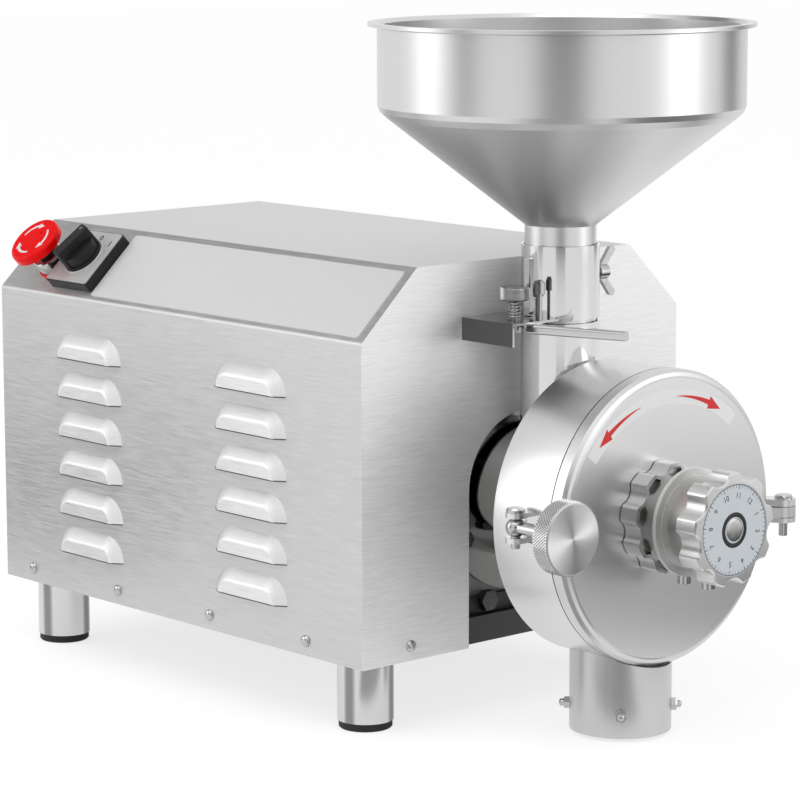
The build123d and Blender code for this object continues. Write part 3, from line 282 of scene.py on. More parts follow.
def between(tree, amount, dark, pale):
    """A colour from dark to pale, by an amount from 0 to 1."""
    return put(tree, "ShaderNodeMix", {0: amount, 6: dark, 7: pale}, data_type="RGBA").outputs[2]


def blotches(tree, scale, detail, place=None, rough=0.5):
    """Soft random blotches from 0 to 1. A larger scale makes them smaller."""
    if place is None:
        place = tree.nodes.new("ShaderNodeTexCoord").outputs["Object"]
    wanted = {"Vector": place, "Scale": scale, "Detail": detail, "Roughness": rough}
    return put(tree, "ShaderNodeTexNoise", wanted).outputs[0]


def dress(tree, shader, tone, gloss, strength=0.0, distance=0.0, height=None):
    """Gives a shader colour, roughness and, if wanted, a relief whose distance is in metres."""
    tree.links.new(tone, shader.inputs["Base Color"])
    tree.links.new(gloss, shader.inputs["Roughness"])
    if height is not None:
        wanted = {"Strength": strength, "Distance": distance, "Height": height}
        tree.links.new(put(tree, "ShaderNodeBump", wanted).outputs[0], shader.inputs["Normal"])


def brush(tree, shader, grain, colour, roughness, depth, contrast=0.1, cloud=6.0):
    """Draws brush lines and faint cloudy marks into a steel: colour, roughness and relief."""
    lines = blotches(tree, 1.0, 3.0, grain, 0.62)
    marks = blotches(tree, cloud, 3.0)
    shade = plus(
        tree,
        times(tree, minus(tree, lines, 0.5), contrast * 2),
        times(tree, minus(tree, marks, 0.5), contrast * 0.5),
    )
    tone = between(tree, plus(tree, shade, 0.5), shade_of(colour, 0.8), shade_of(colour, 1.2))
    gloss = plus(tree, roughness, times(tree, shade, 0.35))
    dress(tree, shader, tone, gloss, depth, 0.00012, lines)


def steel(
    name, colour, roughness, grain, fine, axis=(), depth=0.25, contrast=0.1, cloud=6.0, **sockets
):
    """A steel with a grain from above: how fine the lines are, and round which axis they run."""
    finish, tree, shader = new_finish(name, colour, roughness, **{"Metallic": 1.0, **sockets})
    brush(tree, shader, grain(tree, fine, *axis), colour, roughness, depth, contrast, cloud)
    return finish


def opened(finish):
    """A finish's tree and shader, and what its colour comes from."""
    shader = finish.node_tree.nodes["Principled BSDF"]
    return finish.node_tree, shader, shader.inputs["Base Color"].links[0].from_socket


def wear(finish, *names):
    """Gives CAD nodes a finish."""
    for name in names:
        mesh = nodes[name].data
        mesh.materials.clear()
        mesh.materials.append(finish)


sheet_colour = (0.60, 0.605, 0.60)
sheet_steel, sheet_tree, sheet_shader = new_finish("sheet_steel", sheet_colour, 0.4, Metallic=0.75)
# The front is given less gloss, and painted light: a paler tone than the sides that stands in for
# light on it.
sheet_front = calculate(
    sheet_tree, "MAXIMUM", times(sheet_tree, axes(sheet_tree, "Normal")[1], -1.0), 0.0
)
sheet_gloss = plus(sheet_tree, 0.36, times(sheet_tree, sheet_front, 0.22))
sheet_grain = grain_along_sheet(sheet_tree, 1250.0)
brush(sheet_tree, sheet_shader, sheet_grain, sheet_colour, sheet_gloss, 0.45, contrast=0.46)
# The louvres' hoods are given a painted highlight too: a paler tone by how far they stand out from
# the wall.
house_half = 145.5
painted_hood_highlight = put(
    sheet_tree,
    "ShaderNodeMapRange",
    {
        "Value": calculate(sheet_tree, "ABSOLUTE", axes(sheet_tree)[0]),
        "From Min": (house_half + 0.3) / 1000,
        "From Max": (house_half + 5.0) / 1000,
    },
).outputs[0]
# The painted light on the front and the painted highlight on the hoods both scale the brushed
# colour.
painted_paleness = calculate(
    sheet_tree, "MAXIMUM", times(sheet_tree, sheet_front, 0.56), times(sheet_tree, painted_hood_highlight, 0.34)
)
sheet_tone = scaled(sheet_tree, opened(sheet_steel)[2], plus(sheet_tree, 1.0, painted_paleness))
sheet_tree.links.new(sheet_tone, sheet_shader.inputs["Base Color"])
wear(sheet_steel, "housing_cover", "rear_panel")

# ------------------------------------------------------------------ base pan
# A shallow tray of black painted sheet closes the housing from below. The motor's bracket and the
# legs are bolted to it.


def coated(name, colour, roughness, grit, depth, contrast=0.12, **sockets):
    """Paint, rubber or moulded plastic: slightly uneven in tone, with a fine grit on top."""
    finish, tree, shader = new_finish(name, colour, roughness, **sockets)
    patches = blotches(tree, 35.0, 3.0)
    tone = between(tree, patches, shade_of(colour, 1 - contrast), shade_of(colour, 1 + contrast))
    gloss = plus(tree, roughness - 0.05, times(tree, patches, 0.1))
    dress(tree, shader, tone, gloss, depth, 0.0001, blotches(tree, grit, 2.0))
    return finish


black_paint = coated("black_paint", (0.022, 0.022, 0.024), 0.42, 900.0, 0.3)
pan_paint = coated("pan_paint", (0.045, 0.045, 0.048), 0.38, 900.0, 0.3)
wear(pan_paint, "base_pan")
wear(black_paint, "motor_bracket", "fan_cowl")

# ------------------------------------------------------------------ legs
# Four legs of 38 mm polished stainless tube stand on rubber caps. Each is held by one bolt through
# the pan.
leg_steel = steel(
    "leg_steel", (0.64, 0.64, 0.635), 0.2, grain_along_sheet, 900.0, depth=0.12, contrast=0.08
)
# Two upright bands are shaded darker. They stand for what the polished tube mirrors: bearing and
# half width in degrees, and how much darker.
leg_tree, leg_shader, leg_tone = opened(leg_steel)
leg_facing = leg_tree.nodes.new("ShaderNodeTexCoord").outputs["Normal"]
for bearing, half_width, darker in ((-166, 16, 0.6), (-60, 22, 0.7)):
    both = {0: leg_facing, 1: heading(bearing)}
    likeness = put(leg_tree, "ShaderNodeVectorMath", both, operation="DOT_PRODUCT").outputs[1]
    band = put(
        leg_tree,
        "ShaderNodeMapRange",
        {
            "Value": likeness,
            "From Min": math.cos(math.radians(half_width)),
            "From Max": 1.0,
            "To Min": 1.0,
            "To Max": 1.0 - darker,
        },
        interpolation_type="SMOOTHSTEP",
    ).outputs[0]
    leg_tone = scaled(leg_tree, leg_tone, band)
leg_tree.links.new(leg_tone, leg_shader.inputs["Base Color"])
foot_rubber = coated("foot_rubber", (0.018, 0.018, 0.018), 0.75, 1500.0, 0.5)
wear(leg_steel, "legs")
wear(foot_rubber, "foot_caps", "shaft_seal")

# ------------------------------------------------------------------ cover screws
# Twelve pan head screws hold the cover and the rear panel to the pan. Each head has a worn cross
# recess, and each was driven home at its own angle.


def turned(name, outline, finish=None, steps=48):
    """A piece turned about the Z axis from (radius, height) points in mm."""
    form = bmesh.new()
    last = None
    for radius, height in outline:
        angles = [2 * math.pi * step / steps for step in range(steps if radius else 1)]
        spots = [(radius * math.cos(a), radius * math.sin(a), height) for a in angles]
        ring = [form.verts.new(spot) for spot in spots]
        if last:
            for step in range(steps):
                corners = [last[step % len(last)], last[(step + 1) % len(last)]]
                corners += [ring[(step + 1) % len(ring)], ring[step % len(ring)]]
                corners = list(dict.fromkeys(corners))
                if len(corners) > 2:
                    form.faces.new(corners)
        last = ring
    bmesh.ops.recalc_face_normals(form, faces=form.faces)
    form.transform(Matrix.Scale(0.001, 4))
    mesh = bpy.data.meshes.new(name)
    form.to_mesh(mesh)
    form.free()
    for face in mesh.polygons:
        face.use_smooth = True
    if finish:
        mesh.materials.append(finish)
    return add_to_scene(name, mesh)


def result_of(piece):
    """A new mesh of what a piece's modifiers, its curve or its letters come to."""
    shown = piece.evaluated_get(bpy.context.evaluated_depsgraph_get())
    return bpy.data.meshes.new_from_object(shown)


def keep_result(piece):
    """Puts the modifiers' result in the piece's own mesh and takes the modifiers off."""
    result = result_of(piece)
    piece.modifiers.clear()
    old = piece.data
    piece.data = result
    result.name = piece.name
    bpy.data.meshes.remove(old)


def wear_only(piece, finish):
    """Gives a made piece one finish all over."""
    piece.data.materials.clear()
    piece.data.materials.append(finish)
    for face in piece.data.polygons:
        face.material_index = 0


def grow(name, tree, values, points=None):
    """Makes a piece with a geometry tree, if wanted on points in mm with outward directions."""
    mesh = bpy.data.meshes.new(name)
    if points:
        mesh.from_pydata([Vector(spot) / 1000 for spot, out in points], [], [])
        outward = mesh.attributes.new("outward", "FLOAT_VECTOR", "POINT")
        for place, (spot, out) in enumerate(points):
            outward.data[place].vector = out
    piece = add_to_scene(name, mesh)
    modifier = piece.modifiers.new("shape", "NODES")
    modifier.node_group = tree
    # The modifier knows a tree's named inputs by their identifiers.
    for item in tree.interface.items_tree:
        if item.item_type == "SOCKET" and item.in_out == "INPUT" and item.name in values:
            modifier[item.identifier] = values[item.name]
    keep_result(piece)
    wear_only(piece, [slot for slot in piece.data.materials if slot][0])
    return piece


def new_tree(name, **inputs):
    """An empty geometry tree with named inputs. Returns the tree and its input node's outputs."""
    tree = bpy.data.node_groups.new(name, "GeometryNodeTree")
    tree.interface.new_socket("Geometry", in_out="OUTPUT", socket_type="NodeSocketGeometry")
    tree.interface.new_socket("Geometry", in_out="INPUT", socket_type="NodeSocketGeometry")
    for label, kind in inputs.items():
        tree.interface.new_socket(label, in_out="INPUT", socket_type="NodeSocket" + kind)
    return tree, tree.nodes.new("NodeGroupInput").outputs


def end_tree(tree, instances, finish):
    """Closes a geometry tree with real geometry in one finish."""
    real = put(tree, "GeometryNodeRealizeInstances", {"Geometry": instances}).outputs[0]
    coloured = put(tree, "GeometryNodeSetMaterial", {"Geometry": real, "Material": finish})
    put(tree, "NodeGroupOutput", {0: coloured.outputs[0]})
    return tree


def set_out(tree, finish, points, piece, turn, **size):
    """Closes a geometry tree with a copy of a piece on every point."""
    wanted = {"Points": points, "Instance": piece, "Rotation": turn, **size}
    return end_tree(tree, put(tree, "GeometryNodeInstanceOnPoints", wanted).outputs[0], finish)


def fitted_at_spots(name, finish):
    """Sets a copy of a pattern piece on every spot, facing outwards, each turned by chance."""
    tree, given = new_tree(name, Pattern="Object", Seed="Int", Turn="Float")
    pattern = put(tree, "GeometryNodeObjectInfo", {"Object": given["Pattern"], "As Instance": True})
    outward = put(
        tree, "GeometryNodeInputNamedAttribute", {"Name": "outward"}, data_type="FLOAT_VECTOR"
    ).outputs[0]
    facing = put(tree, "FunctionNodeAlignRotationToVector", {"Vector": outward}, axis="Z")
    limits = {"Min": 0.0, "Max": given["Turn"], "Seed": given["Seed"]}
    chance = put(tree, "FunctionNodeRandomValue", limits, data_type="FLOAT")
    angle = [output for output in chance.outputs if output.enabled][0]
    twist = put(tree, "FunctionNodeAxisAngleToRotation", {"Axis": (0, 0, 1), "Angle": angle})
    turns = {0: facing.outputs[0], 1: twist.outputs[0]}
    spun = put(tree, "FunctionNodeRotateRotation", turns, rotation_space="LOCAL").outputs[0]
    return set_out(tree, finish, given["Geometry"], pattern.outputs["Geometry"], spun)


def bright_finish(name, colour, roughness):
    """Small bright hardware: plated or plain steel with fine smears and specks."""
    finish, tree, shader = new_finish(name, colour, roughness, Metallic=1.0)
    smears = blotches(tree, 260.0, 4.0)
    tone = between(tree, smears, shade_of(colour, 0.82), shade_of(colour, 1.15))
    gloss = plus(tree, roughness - 0.08, times(tree, smears, 0.16))
    dress(tree, shader, tone, gloss, 0.12, 0.0001, smears)
    return finish


hardware_steel = bright_finish("hardware_steel", (0.50, 0.50, 0.495), 0.19)

screw_outline = [(0, -0.6), (4.0, -0.6), (4.05, 0.15), (3.9, 0.9)]
screw_outline += [(3.45, 1.65), (2.7, 2.15), (1.6, 2.4), (0, 2.5)]
screw_head = turned("screw_head", screw_outline, steps=40)
screw_cross = mesh_piece(
    "screw_cross",
    [
        (side * long, turn * wide, high)
        for high, long, wide in ((3.0, 2.9, 0.62), (0.4, 1.5, 0.36))
        for side, turn in ((-1, -1), (1, -1), (1, 1), (-1, 1))
    ],
    [(3, 2, 1, 0), (4, 5, 6, 7), (0, 1, 5, 4), (1, 2, 6, 5), (2, 3, 7, 6), (3, 0, 4, 7)],
)
# The recess is two crossed wedges, cut one after the other.
for quarter in range(2):
    recess = screw_head.modifiers.new("recess", "BOOLEAN")
    recess.object = screw_cross
    recess.operation = "DIFFERENCE"
    recess.solver = "EXACT"
    keep_result(screw_head)
    screw_cross.data.transform(Matrix.Rotation(math.pi / 2, 4, "Z"))
screw_z, screw_x = 57.0, 103.4
house_front, house_back = -105.0, 293.0
screw_spots = [
    ((side * house_half, y, screw_z), (side, 0, 0)) for side in (-1, 1) for y in (-48, 54, 158, 260)
]
for wall, out in ((house_front, -1), (house_back, 1)):
    screw_spots += [((side * screw_x, wall, screw_z), (0, out, 0)) for side in (-1, 1)]
cover_screws = grow(
    "screws_of_the_cover",
    fitted_at_spots("screws round the housing", hardware_steel),
    {"Pattern": screw_head, "Seed": 4, "Turn": 1.5},
    screw_spots,
)
bpy.data.objects.remove(screw_cross)
bpy.data.objects.remove(screw_head)
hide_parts("cover_screws")
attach(cover_screws, "frame")
wear(hardware_steel, "leg_bolts")
wear(bright_finish("black_bolts", (0.10, 0.10, 0.10), 0.3), "motor_bolts")

# ------------------------------------------------------------------ painted shade under the louvre lips
# Every louvre ends below in an edge that the punch sheared. A thin dark bead along it is painted
# shade, for the line of shade under that edge.


def curve_piece(name, curve):
    """A piece with the mesh that a curve or letters come to."""
    holder = add_to_scene(name, curve)
    mesh = result_of(holder)
    bpy.data.objects.remove(holder)
    return add_to_scene(name, mesh)


# A dark finish for the beads of painted shade.
lip_steel = bright_finish("lip_steel", (0.10, 0.10, 0.098), 0.45)
lip_path = bpy.data.curves.new("louvre_lip", "CURVE")
lip_path.dimensions = "3D"
lip_path.bevel_depth = 0.00042
lip_path.bevel_resolution = 1
lip_path.use_fill_caps = True
# Half of the lip in plan: place along the louvre, and depth from the wall.
lip_outline = [(-37.2, 0.1), (-34.0, 2.6), (-31.4, 4.6), (-28.6, 5.7), (-25.5, 5.95)]
lip_outline += [(-y, deep) for y, deep in lip_outline[::-1]]
lip_line = lip_path.splines.new("POLY")
lip_line.points.add(len(lip_outline) - 1)
for corner, (y, deep) in zip(lip_line.points, lip_outline):
    corner.co = (0, y / 1000, deep / 1000, 1)
lip = curve_piece("louvre_lip", lip_path)
top_lip_z, louvre_pitch, louvre_columns = 217.65, 28.1, (8.0, 188.0)
lip_spots = [
    ((side * house_half, y, top_lip_z - louvre_pitch * row), (side, 0, 0))
    for side in (-1, 1)
    for y in louvre_columns
    for row in range(6)
]
louvre_lips = grow(
    "louvre_lips",
    fitted_at_spots("lips of the louvres", lip_steel),
    {"Pattern": lip, "Seed": 1, "Turn": 0.0},
    lip_spots,
)
bpy.data.objects.remove(lip)
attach(louvre_lips, "frame")

# ------------------------------------------------------------------ rating plate
# A thin pale aluminium plate, stuck flat along the sloped shoulder in front of the switch. Nothing
# is printed on it.
label_colour = (0.76, 0.765, 0.76)
label_grey, label_tree, label_shader = new_finish("label_grey", label_colour, 0.5, Metallic=0.15)
panel_up = Vector((47.9, 0, 45.2)).normalized()
panel_out = Vector((-45.2, 0, 47.9)).normalized()


def panel_point(y, slope):
    """A point on the sloped shoulder: y along it, and mm up its slope from the middle."""
    return Vector((23.95 - house_half, y, 283.8)) + panel_up * slope


label_grain = grain_along_sheet(label_tree, 900.0)
brush(label_tree, label_shader, label_grain, label_colour, 0.5, 0.05, contrast=0.03)
wear(label_grey, "rating_plate")

# ------------------------------------------------------------------ rotary switch
# A moulded black body with a pale plate, a light ring round the knob's foot, a boxy handle with a
# pointer dot, and the plain marks 0 and 1.
switch_black = coated(
    "switch_black", (0.014, 0.014, 0.015), 0.5, 1400.0, 0.35, Specular_IOR_Level=0.3
)
switch_face = steel(
    "switch_face",
    (0.62, 0.62, 0.62),
    0.45,
    grain_along_sheet,
    900.0,
    depth=0.08,
    contrast=0.05,
    Metallic=0.35,
)
print_black = coated("print_black", (0.012, 0.012, 0.014), 0.5, 2000.0, 0.05)
wear(switch_black, "switch_base", "switch_knob", "overload_breaker", "cable_gland", "estop_block")
wear(switch_face, "switch_plate")

panel_turn = Matrix((panel_up, Vector((0, 1, 0)), panel_out)).transposed()


def place_on(piece, origin, turn):
    """Moves a piece's mesh, made in mm about the origin, to its place in the mill."""
    piece.data.transform(
        Matrix.Translation(Vector(origin) / 1000) @ turn.to_4x4() @ Matrix.Scale(0.001, 4)
    )
    return piece


def written(name, text, size, thick, finish, heavy=0.0):
    """Raised or printed figures as a mesh in mm, centred on the origin in the XY plane."""
    letters = bpy.data.curves.new(name, "FONT")
    letters.body = text
    letters.size = size
    letters.extrude = thick / 2
    letters.offset = size * heavy
    letters.align_x = "CENTER"
    letters.align_y = "CENTER"
    letters.resolution_u = 3
    piece = curve_piece(name, letters)
    wear_only(piece, finish)
    return piece


def face_outwards(piece, join_within=0.0):
    """Turns a closed piece's faces outwards, once its doubled points are joined."""
    form = bmesh.new()
    form.from_mesh(piece.data)
    if join_within:
        bmesh.ops.remove_doubles(form, verts=form.verts, dist=join_within)
    bmesh.ops.recalc_face_normals(form, faces=form.faces)
    form.to_mesh(piece.data)
    form.free()


def ring_piece(name, inner, outer, low, high, finish, steps=96):
    """A flat ring in mm about the Z axis."""
    outline = [(inner, low), (outer, low), (outer, high), (inner, high), (inner, low)]
    piece = turned(name, outline, finish, steps)
    face_outwards(piece, join_within=1e-7)
    piece.data.transform(Matrix.Scale(1000, 4))
    return piece


switch_origin = panel_point(213.5, -2.5)
switch_ring = place_on(
    ring_piece("switch_ring", 14.9, 16.2, 8.8, 9.4, switch_face), switch_origin, panel_turn
)
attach(switch_ring, "frame")
for mark, spot_up, spot_y in (("0", 17.5, -4.0), ("1", 13.5, -17.5)):
    figure = written("switch_mark_" + mark, mark, 7.0, 0.08, print_black, heavy=0.02)
    figure.data.transform(
        Matrix.Translation((spot_up, spot_y, 8.83)) @ Matrix.Rotation(-math.pi / 2, 4, "Z")
    )
    place_on(figure, switch_origin, panel_turn)
    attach(figure, "frame")
pointer_grey = coated("pointer_grey", (0.16, 0.17, 0.19), 0.4, 1500.0, 0.1)
pointer = turned(
    "switch_pointer",
    [(0, 26.8), (1.5, 26.8), (1.5, 27.05), (1.2, 27.12), (0, 27.12)],
    pointer_grey,
    28,
)
pointer.data.transform(Matrix.Scale(1000, 4))
pointer.data.transform(
    Matrix.Rotation(math.radians(-16), 4, "Z") @ Matrix.Translation((11.4, 0, 0))
)
place_on(pointer, switch_origin, panel_turn)
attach(pointer, "switch_knob")

# ------------------------------------------------------------------ stop button
# A glossy red mushroom head on a bright collar and a red base ring, with three white arrows that
# show which way it twists to let go.
stop_red, stop_tree, stop_shader = new_finish(
    "stop_red", (0.92, 0.001, 0.002), 0.34, Specular_IOR_Level=0.14
)
stop_marks = blotches(stop_tree, 60.0, 3.0)
stop_tone = between(stop_tree, stop_marks, (0.88, 0.001, 0.002, 1), (0.96, 0.002, 0.004, 1))
dress(stop_tree, stop_shader, stop_tone, plus(stop_tree, 0.2, times(stop_tree, stop_marks, 0.16)))
wear(stop_red, "estop_button", "estop_base", "reset_button")
wear(hardware_steel, "estop_collar")
wear(switch_black, "estop_stem")
print_white = coated("print_white", (0.82, 0.82, 0.82), 0.45, 2000.0, 0.05)


def curved_arrow(name, radius, start, sweep, thin, thick, head, height, finish):
    """A flat arrow in mm that follows an arc about Z, in degrees, and swells towards its head."""
    start, sweep = math.radians(start), math.radians(sweep)
    body_share, flat, steps = 0.72, 0.06, 12
    body_end = start + sweep * body_share

    def spot(away, angle):
        """A point so far from Z, at an angle."""
        return away * math.cos(angle), away * math.sin(angle)

    rim, core = [], []
    for step in range(steps + 1):
        angle = start + (body_end - start) * step / steps
        half = (thin + (thick - thin) * step / steps) / 2
        rim.append(spot(radius + half, angle))
        core.append(spot(radius - half, angle))
    barbs = [spot(radius + side * head / 2, body_end) for side in (1, -1)]
    outline = rim + [barbs[0], spot(radius, start + sweep), barbs[1]] + core[::-1]
    count = len(outline)
    points = [(x, y, level) for level in (height, height + flat) for x, y in outline]
    faces = []
    for level in (0, count):
        strip = [
            (level + i, level + i + 1, level + count - 2 - i, level + count - 1 - i)
            for i in range(steps)
        ]
        strip.append((level + steps + 1, level + steps + 2, level + steps + 3))
        faces += strip if level else [face[::-1] for face in strip]
    faces += [(i, (i + 1) % count, count + (i + 1) % count, count + i) for i in range(count)]
    piece = mesh_piece(name, points, faces, finish)
    piece.data.transform(Matrix.Scale(1000, 4))
    face_outwards(piece)
    return piece


stop_origin = panel_point(250.5, -7.8)
for third in range(3):
    arrow = curved_arrow(
        f"stop_arrow_{third + 1}",
        radius=12.6,
        start=200 - 120 * third,
        sweep=-88,
        thin=1.3,
        thick=2.3,
        head=5.2,
        height=28.52,
        finish=print_white,
    )
    place_on(arrow, stop_origin, panel_turn)
    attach(arrow, "estop_button")

# ------------------------------------------------------------------ electrics and motor
# Inside the housing: a motor with a grey cast frame, a moulded fan in a sheet cowl, its capacitors
# and a terminal block.
pale_moulding = coated("pale_moulding", (0.62, 0.61, 0.56), 0.5, 1200.0, 0.2)
cast_grey = coated("cast_grey", (0.30, 0.305, 0.31), 0.45, 420.0, 0.6, contrast=0.3, Metallic=0.4)
laminated_steel = coated("laminated_steel", (0.2, 0.19, 0.18), 0.5, 2500.0, 0.4, Metallic=0.6)
wear(pale_moulding, "terminal_block", "capacitors")
wear(cast_grey, "motor_frame", "front_bell", "rear_bell")
wear(laminated_steel, "stator_core", "rotor_core")
wear(switch_black, "cooling_fan")
shaft_steel = steel("shaft_steel", (0.5, 0.5, 0.49), 0.25, grain_round_axis, 2600.0)
wear(shaft_steel, "motor_shaft", "motor_bearings")

# ------------------------------------------------------------------ feed chamber and burrs
# The chamber is turned from stainless bar and darker than the drum. Its auger pushes the grain
# between two cast burrs.
chamber_steel = steel(
    "chamber_steel", (0.30, 0.295, 0.29), 0.12, grain_round_axis, 1500.0, depth=0.12, contrast=0.25
)
burr_iron = coated("burr_iron", (0.26, 0.255, 0.25), 0.5, 700.0, 0.7, contrast=0.25, Metallic=0.8)
wear(chamber_steel, "feed_chamber")
wear(shaft_steel, "feed_auger", "burr_carrier", "fixed_burr_carrier")
wear(burr_iron, "moving_burr", "fixed_burr")

# ------------------------------------------------------------------ drum and outlet
# Drum and cover are spun from thick stainless plate with a fine satin polish. The outlet is a short
# tube welded under the drum.
drum_x, drum_z = 10.0, 145.3
drum_steel = steel(
    "drum_steel",
    (0.74, 0.74, 0.735),
    0.32,
    grain_round_axis,
    1300.0,
    (drum_x, drum_z),
    depth=0.1,
    contrast=0.07,
)
cover_steel = steel(
    "cover_steel",
    (0.66, 0.66, 0.66),
    0.34,
    grain_round_axis,
    700.0,
    (drum_x, drum_z),
    depth=0.05,
    contrast=0.05,
    cloud=9.0,
)
outlet_x, outlet_y = 0.5, -195.5
outlet_steel = steel(
    "outlet_steel",
    (0.58, 0.58, 0.575),
    0.32,
    grain_upright,
    24.0,
    (outlet_x, outlet_y),
    depth=0.08,
    contrast=0.06,
)
wear(drum_steel, "grinding_drum")
wear(cover_steel, "drum_cover")
wear(outlet_steel, "outlet_spout")

# ------------------------------------------------------------------ outlet screws
# Four short studs with domed ends are run through hex nuts near the outlet's mouth, to hold a flour
# bag's collar. The nuts have turned-down corners.
nut_and_stud = turned(
    "nut_and_stud",
    [(0, 0.2), (4.4, 0.2), (4.4, 3.1), (3.85, 3.8), (2.9, 3.8)],
    steps=6,
)
stud = turned(
    "stud",
    [(2.9, 3.7), (2.5, 3.9), (2.5, 5.3), (2.3, 6.1), (1.7, 6.75), (0.9, 7.1), (0, 7.2)],
    steps=28,
)
for face in nut_and_stud.data.polygons:
    face.use_smooth = False
whole = bmesh.new()
whole.from_mesh(nut_and_stud.data)
whole.from_mesh(stud.data)
whole.to_mesh(nut_and_stud.data)
whole.free()
nut_away, nut_z = 33.2, 18.0
outlet_spots = []
for corner in (45, 135, 225, 315):
    out = heading(corner)
    outlet_spots.append(((outlet_x + nut_away * out[0], outlet_y + nut_away * out[1], nut_z), out))
outlet_screws = grow(
    "nuts_of_the_outlet",
    fitted_at_spots("nuts round the outlet", hardware_steel),
    {"Pattern": nut_and_stud, "Seed": 9, "Turn": 1.0},
    outlet_spots,
)
bpy.data.objects.remove(nut_and_stud)
bpy.data.objects.remove(stud)
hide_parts("outlet_screws")
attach(outlet_screws, "frame")

# ------------------------------------------------------------------ feed tube and gate
# Mirror-drawn tube with a slot for the gate's blade. The blade swings on a knurled screw against a
# spring, and its bar handle stands out to the front.
tube_steel = steel(
    "tube_steel", (0.66, 0.66, 0.66), 0.09, grain_upright, 20.0, depth=0.05, contrast=0.05
)
gate_steel = steel(
    "gate_steel", (0.60, 0.60, 0.595), 0.22, grain_along_sheet, 1200.0, depth=0.1, contrast=0.08
)
wear(tube_steel, "feed_tube")
bracket_steel = steel(
    "bracket_steel", (0.46, 0.46, 0.455), 0.14, grain_along_sheet, 900.0, depth=0.08, contrast=0.08
)
# Its down-turned end is painted darker than its top: a painted reflection of the dark that the
# polished end mirrors.
bracket_tree, bracket_shader, top_tone = opened(bracket_steel)
end_facing = calculate(bracket_tree, "ABSOLUTE", axes(bracket_tree, "Normal")[0])
dark_reflection_on_end = calculate(bracket_tree, "GREATER_THAN", end_facing, 0.5)
bracket_tone = between(bracket_tree, dark_reflection_on_end, top_tone, (0.13, 0.13, 0.13, 1))
bracket_tree.links.new(bracket_tone, bracket_shader.inputs["Base Color"])
shank_steel = bright_finish("shank_steel", (0.30, 0.30, 0.30), 0.2)
wear(gate_steel, "gate_lever")
wear(bracket_steel, "gate_bracket")
wear(shank_steel, "gate_screw")
wear(hardware_steel, "gate_spring", "wing_bolt")


def on_circle(tree, radius, angle, level=0.0):
    """A place on a circle about Z in a tree."""
    x, y = (times(tree, radius, calculate(tree, kind, angle)) for kind in ("COSINE", "SINE"))
    return place_of(tree, x, y, level)


def knurl_tree(name, finish):
    """Diamond knurling: rows of small pyramids round a bar about Z, staggered by half a step."""
    tree, given = new_tree(
        name, Radius="Float", Low="Float", High="Float", Around="Int", Rows="Int", Ridge="Float"
    )
    number = tree.nodes.new("GeometryNodeInputIndex").outputs[0]
    column = calculate(tree, "MODULO", number, given["Around"])
    row = calculate(tree, "FLOOR", calculate(tree, "DIVIDE", number, given["Around"]))
    shift = times(tree, calculate(tree, "MODULO", row, 2.0), 0.5)
    step = calculate(tree, "DIVIDE", 2 * math.pi, given["Around"])
    angle = times(tree, plus(tree, column, shift), step)
    rise = calculate(tree, "DIVIDE", minus(tree, given["High"], given["Low"]), given["Rows"])
    level = plus(tree, given["Low"], times(tree, plus(tree, row, 0.5), rise))
    spot = on_circle(tree, given["Radius"], angle, level)
    count = times(tree, given["Around"], given["Rows"])
    spots = put(tree, "GeometryNodePoints", {"Count": count, "Position": spot}).outputs[0]
    pyramid = put(
        tree,
        "GeometryNodeMeshCone",
        {
            "Vertices": 4,
            "Side Segments": 1,
            "Radius Top": 0.0,
            "Radius Bottom": 1.0,
            "Depth": given["Ridge"],
        },
        fill_type="NONE",
    ).outputs["Mesh"]
    lean = place_of(tree, 0.0, math.pi / 2, angle)
    turn = put(tree, "FunctionNodeEulerToRotation", {0: lean}).outputs[0]
    size = place_of(tree, rise, times(tree, times(tree, given["Radius"], step), 0.5), 1.0)
    return set_out(tree, finish, spots, pyramid, turn, Scale=size)


knurl_steel = bright_finish("knurl_steel", (0.52, 0.52, 0.515), 0.2)
knurling = knurl_tree("diamond knurling", knurl_steel)
gate_knurl = grow(
    "gate_screw_knurl",
    knurling,
    {"Radius": 8.9, "Low": 283.8, "High": 291.2, "Around": 30, "Rows": 7, "Ridge": 1.0},
)
gate_screw_x, gate_screw_y = -40, -136
place_on(gate_knurl, (gate_screw_x, gate_screw_y, 0), Matrix.Identity(3))
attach(gate_knurl, "gate_screw")


def thread_tree(name, finish):
    """A screw thread: a three-sided ridge that winds up a bar about Z."""
    tree, given = new_tree(name, Radius="Float", Length="Float", Turns="Float", Ridge="Float")
    spiral = put(
        tree,
        "GeometryNodeCurveSpiral",
        {
            "Resolution": 28,
            "Rotations": given["Turns"],
            "Start Radius": given["Radius"],
            "End Radius": given["Radius"],
            "Height": given["Length"],
        },
    ).outputs[0]
    triangle = {"Resolution": 3, "Radius": given["Ridge"]}
    section = put(tree, "GeometryNodeCurvePrimitiveCircle", triangle).outputs[0]
    sweep = {"Curve": spiral, "Profile Curve": section, "Fill Caps": True}
    ridge = put(tree, "GeometryNodeCurveToMesh", sweep).outputs[0]
    return end_tree(tree, ridge, finish)


threading = thread_tree("screw thread", hardware_steel)
wing_thread = grow(
    "wing_bolt_thread", threading, {"Radius": 2.95, "Length": 9.6, "Turns": 9.6, "Ridge": 0.42}
)
place_on(wing_thread, (24.2, tube_y, 295.5), Matrix.Rotation(math.pi / 2, 3, "Y"))
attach(wing_thread, "wing_bolt")

# ------------------------------------------------------------------ hopper
# Spun from thin stainless sheet with a rolled-over rim and brushed upright, on a drawn neck that
# drops into the feed tube.
hopper_steel = steel(
    "hopper_steel", (0.66, 0.66, 0.66), 0.33, grain_upright, 170.0, depth=0.06, contrast=0.07
)
wear(hopper_steel, "hopper")

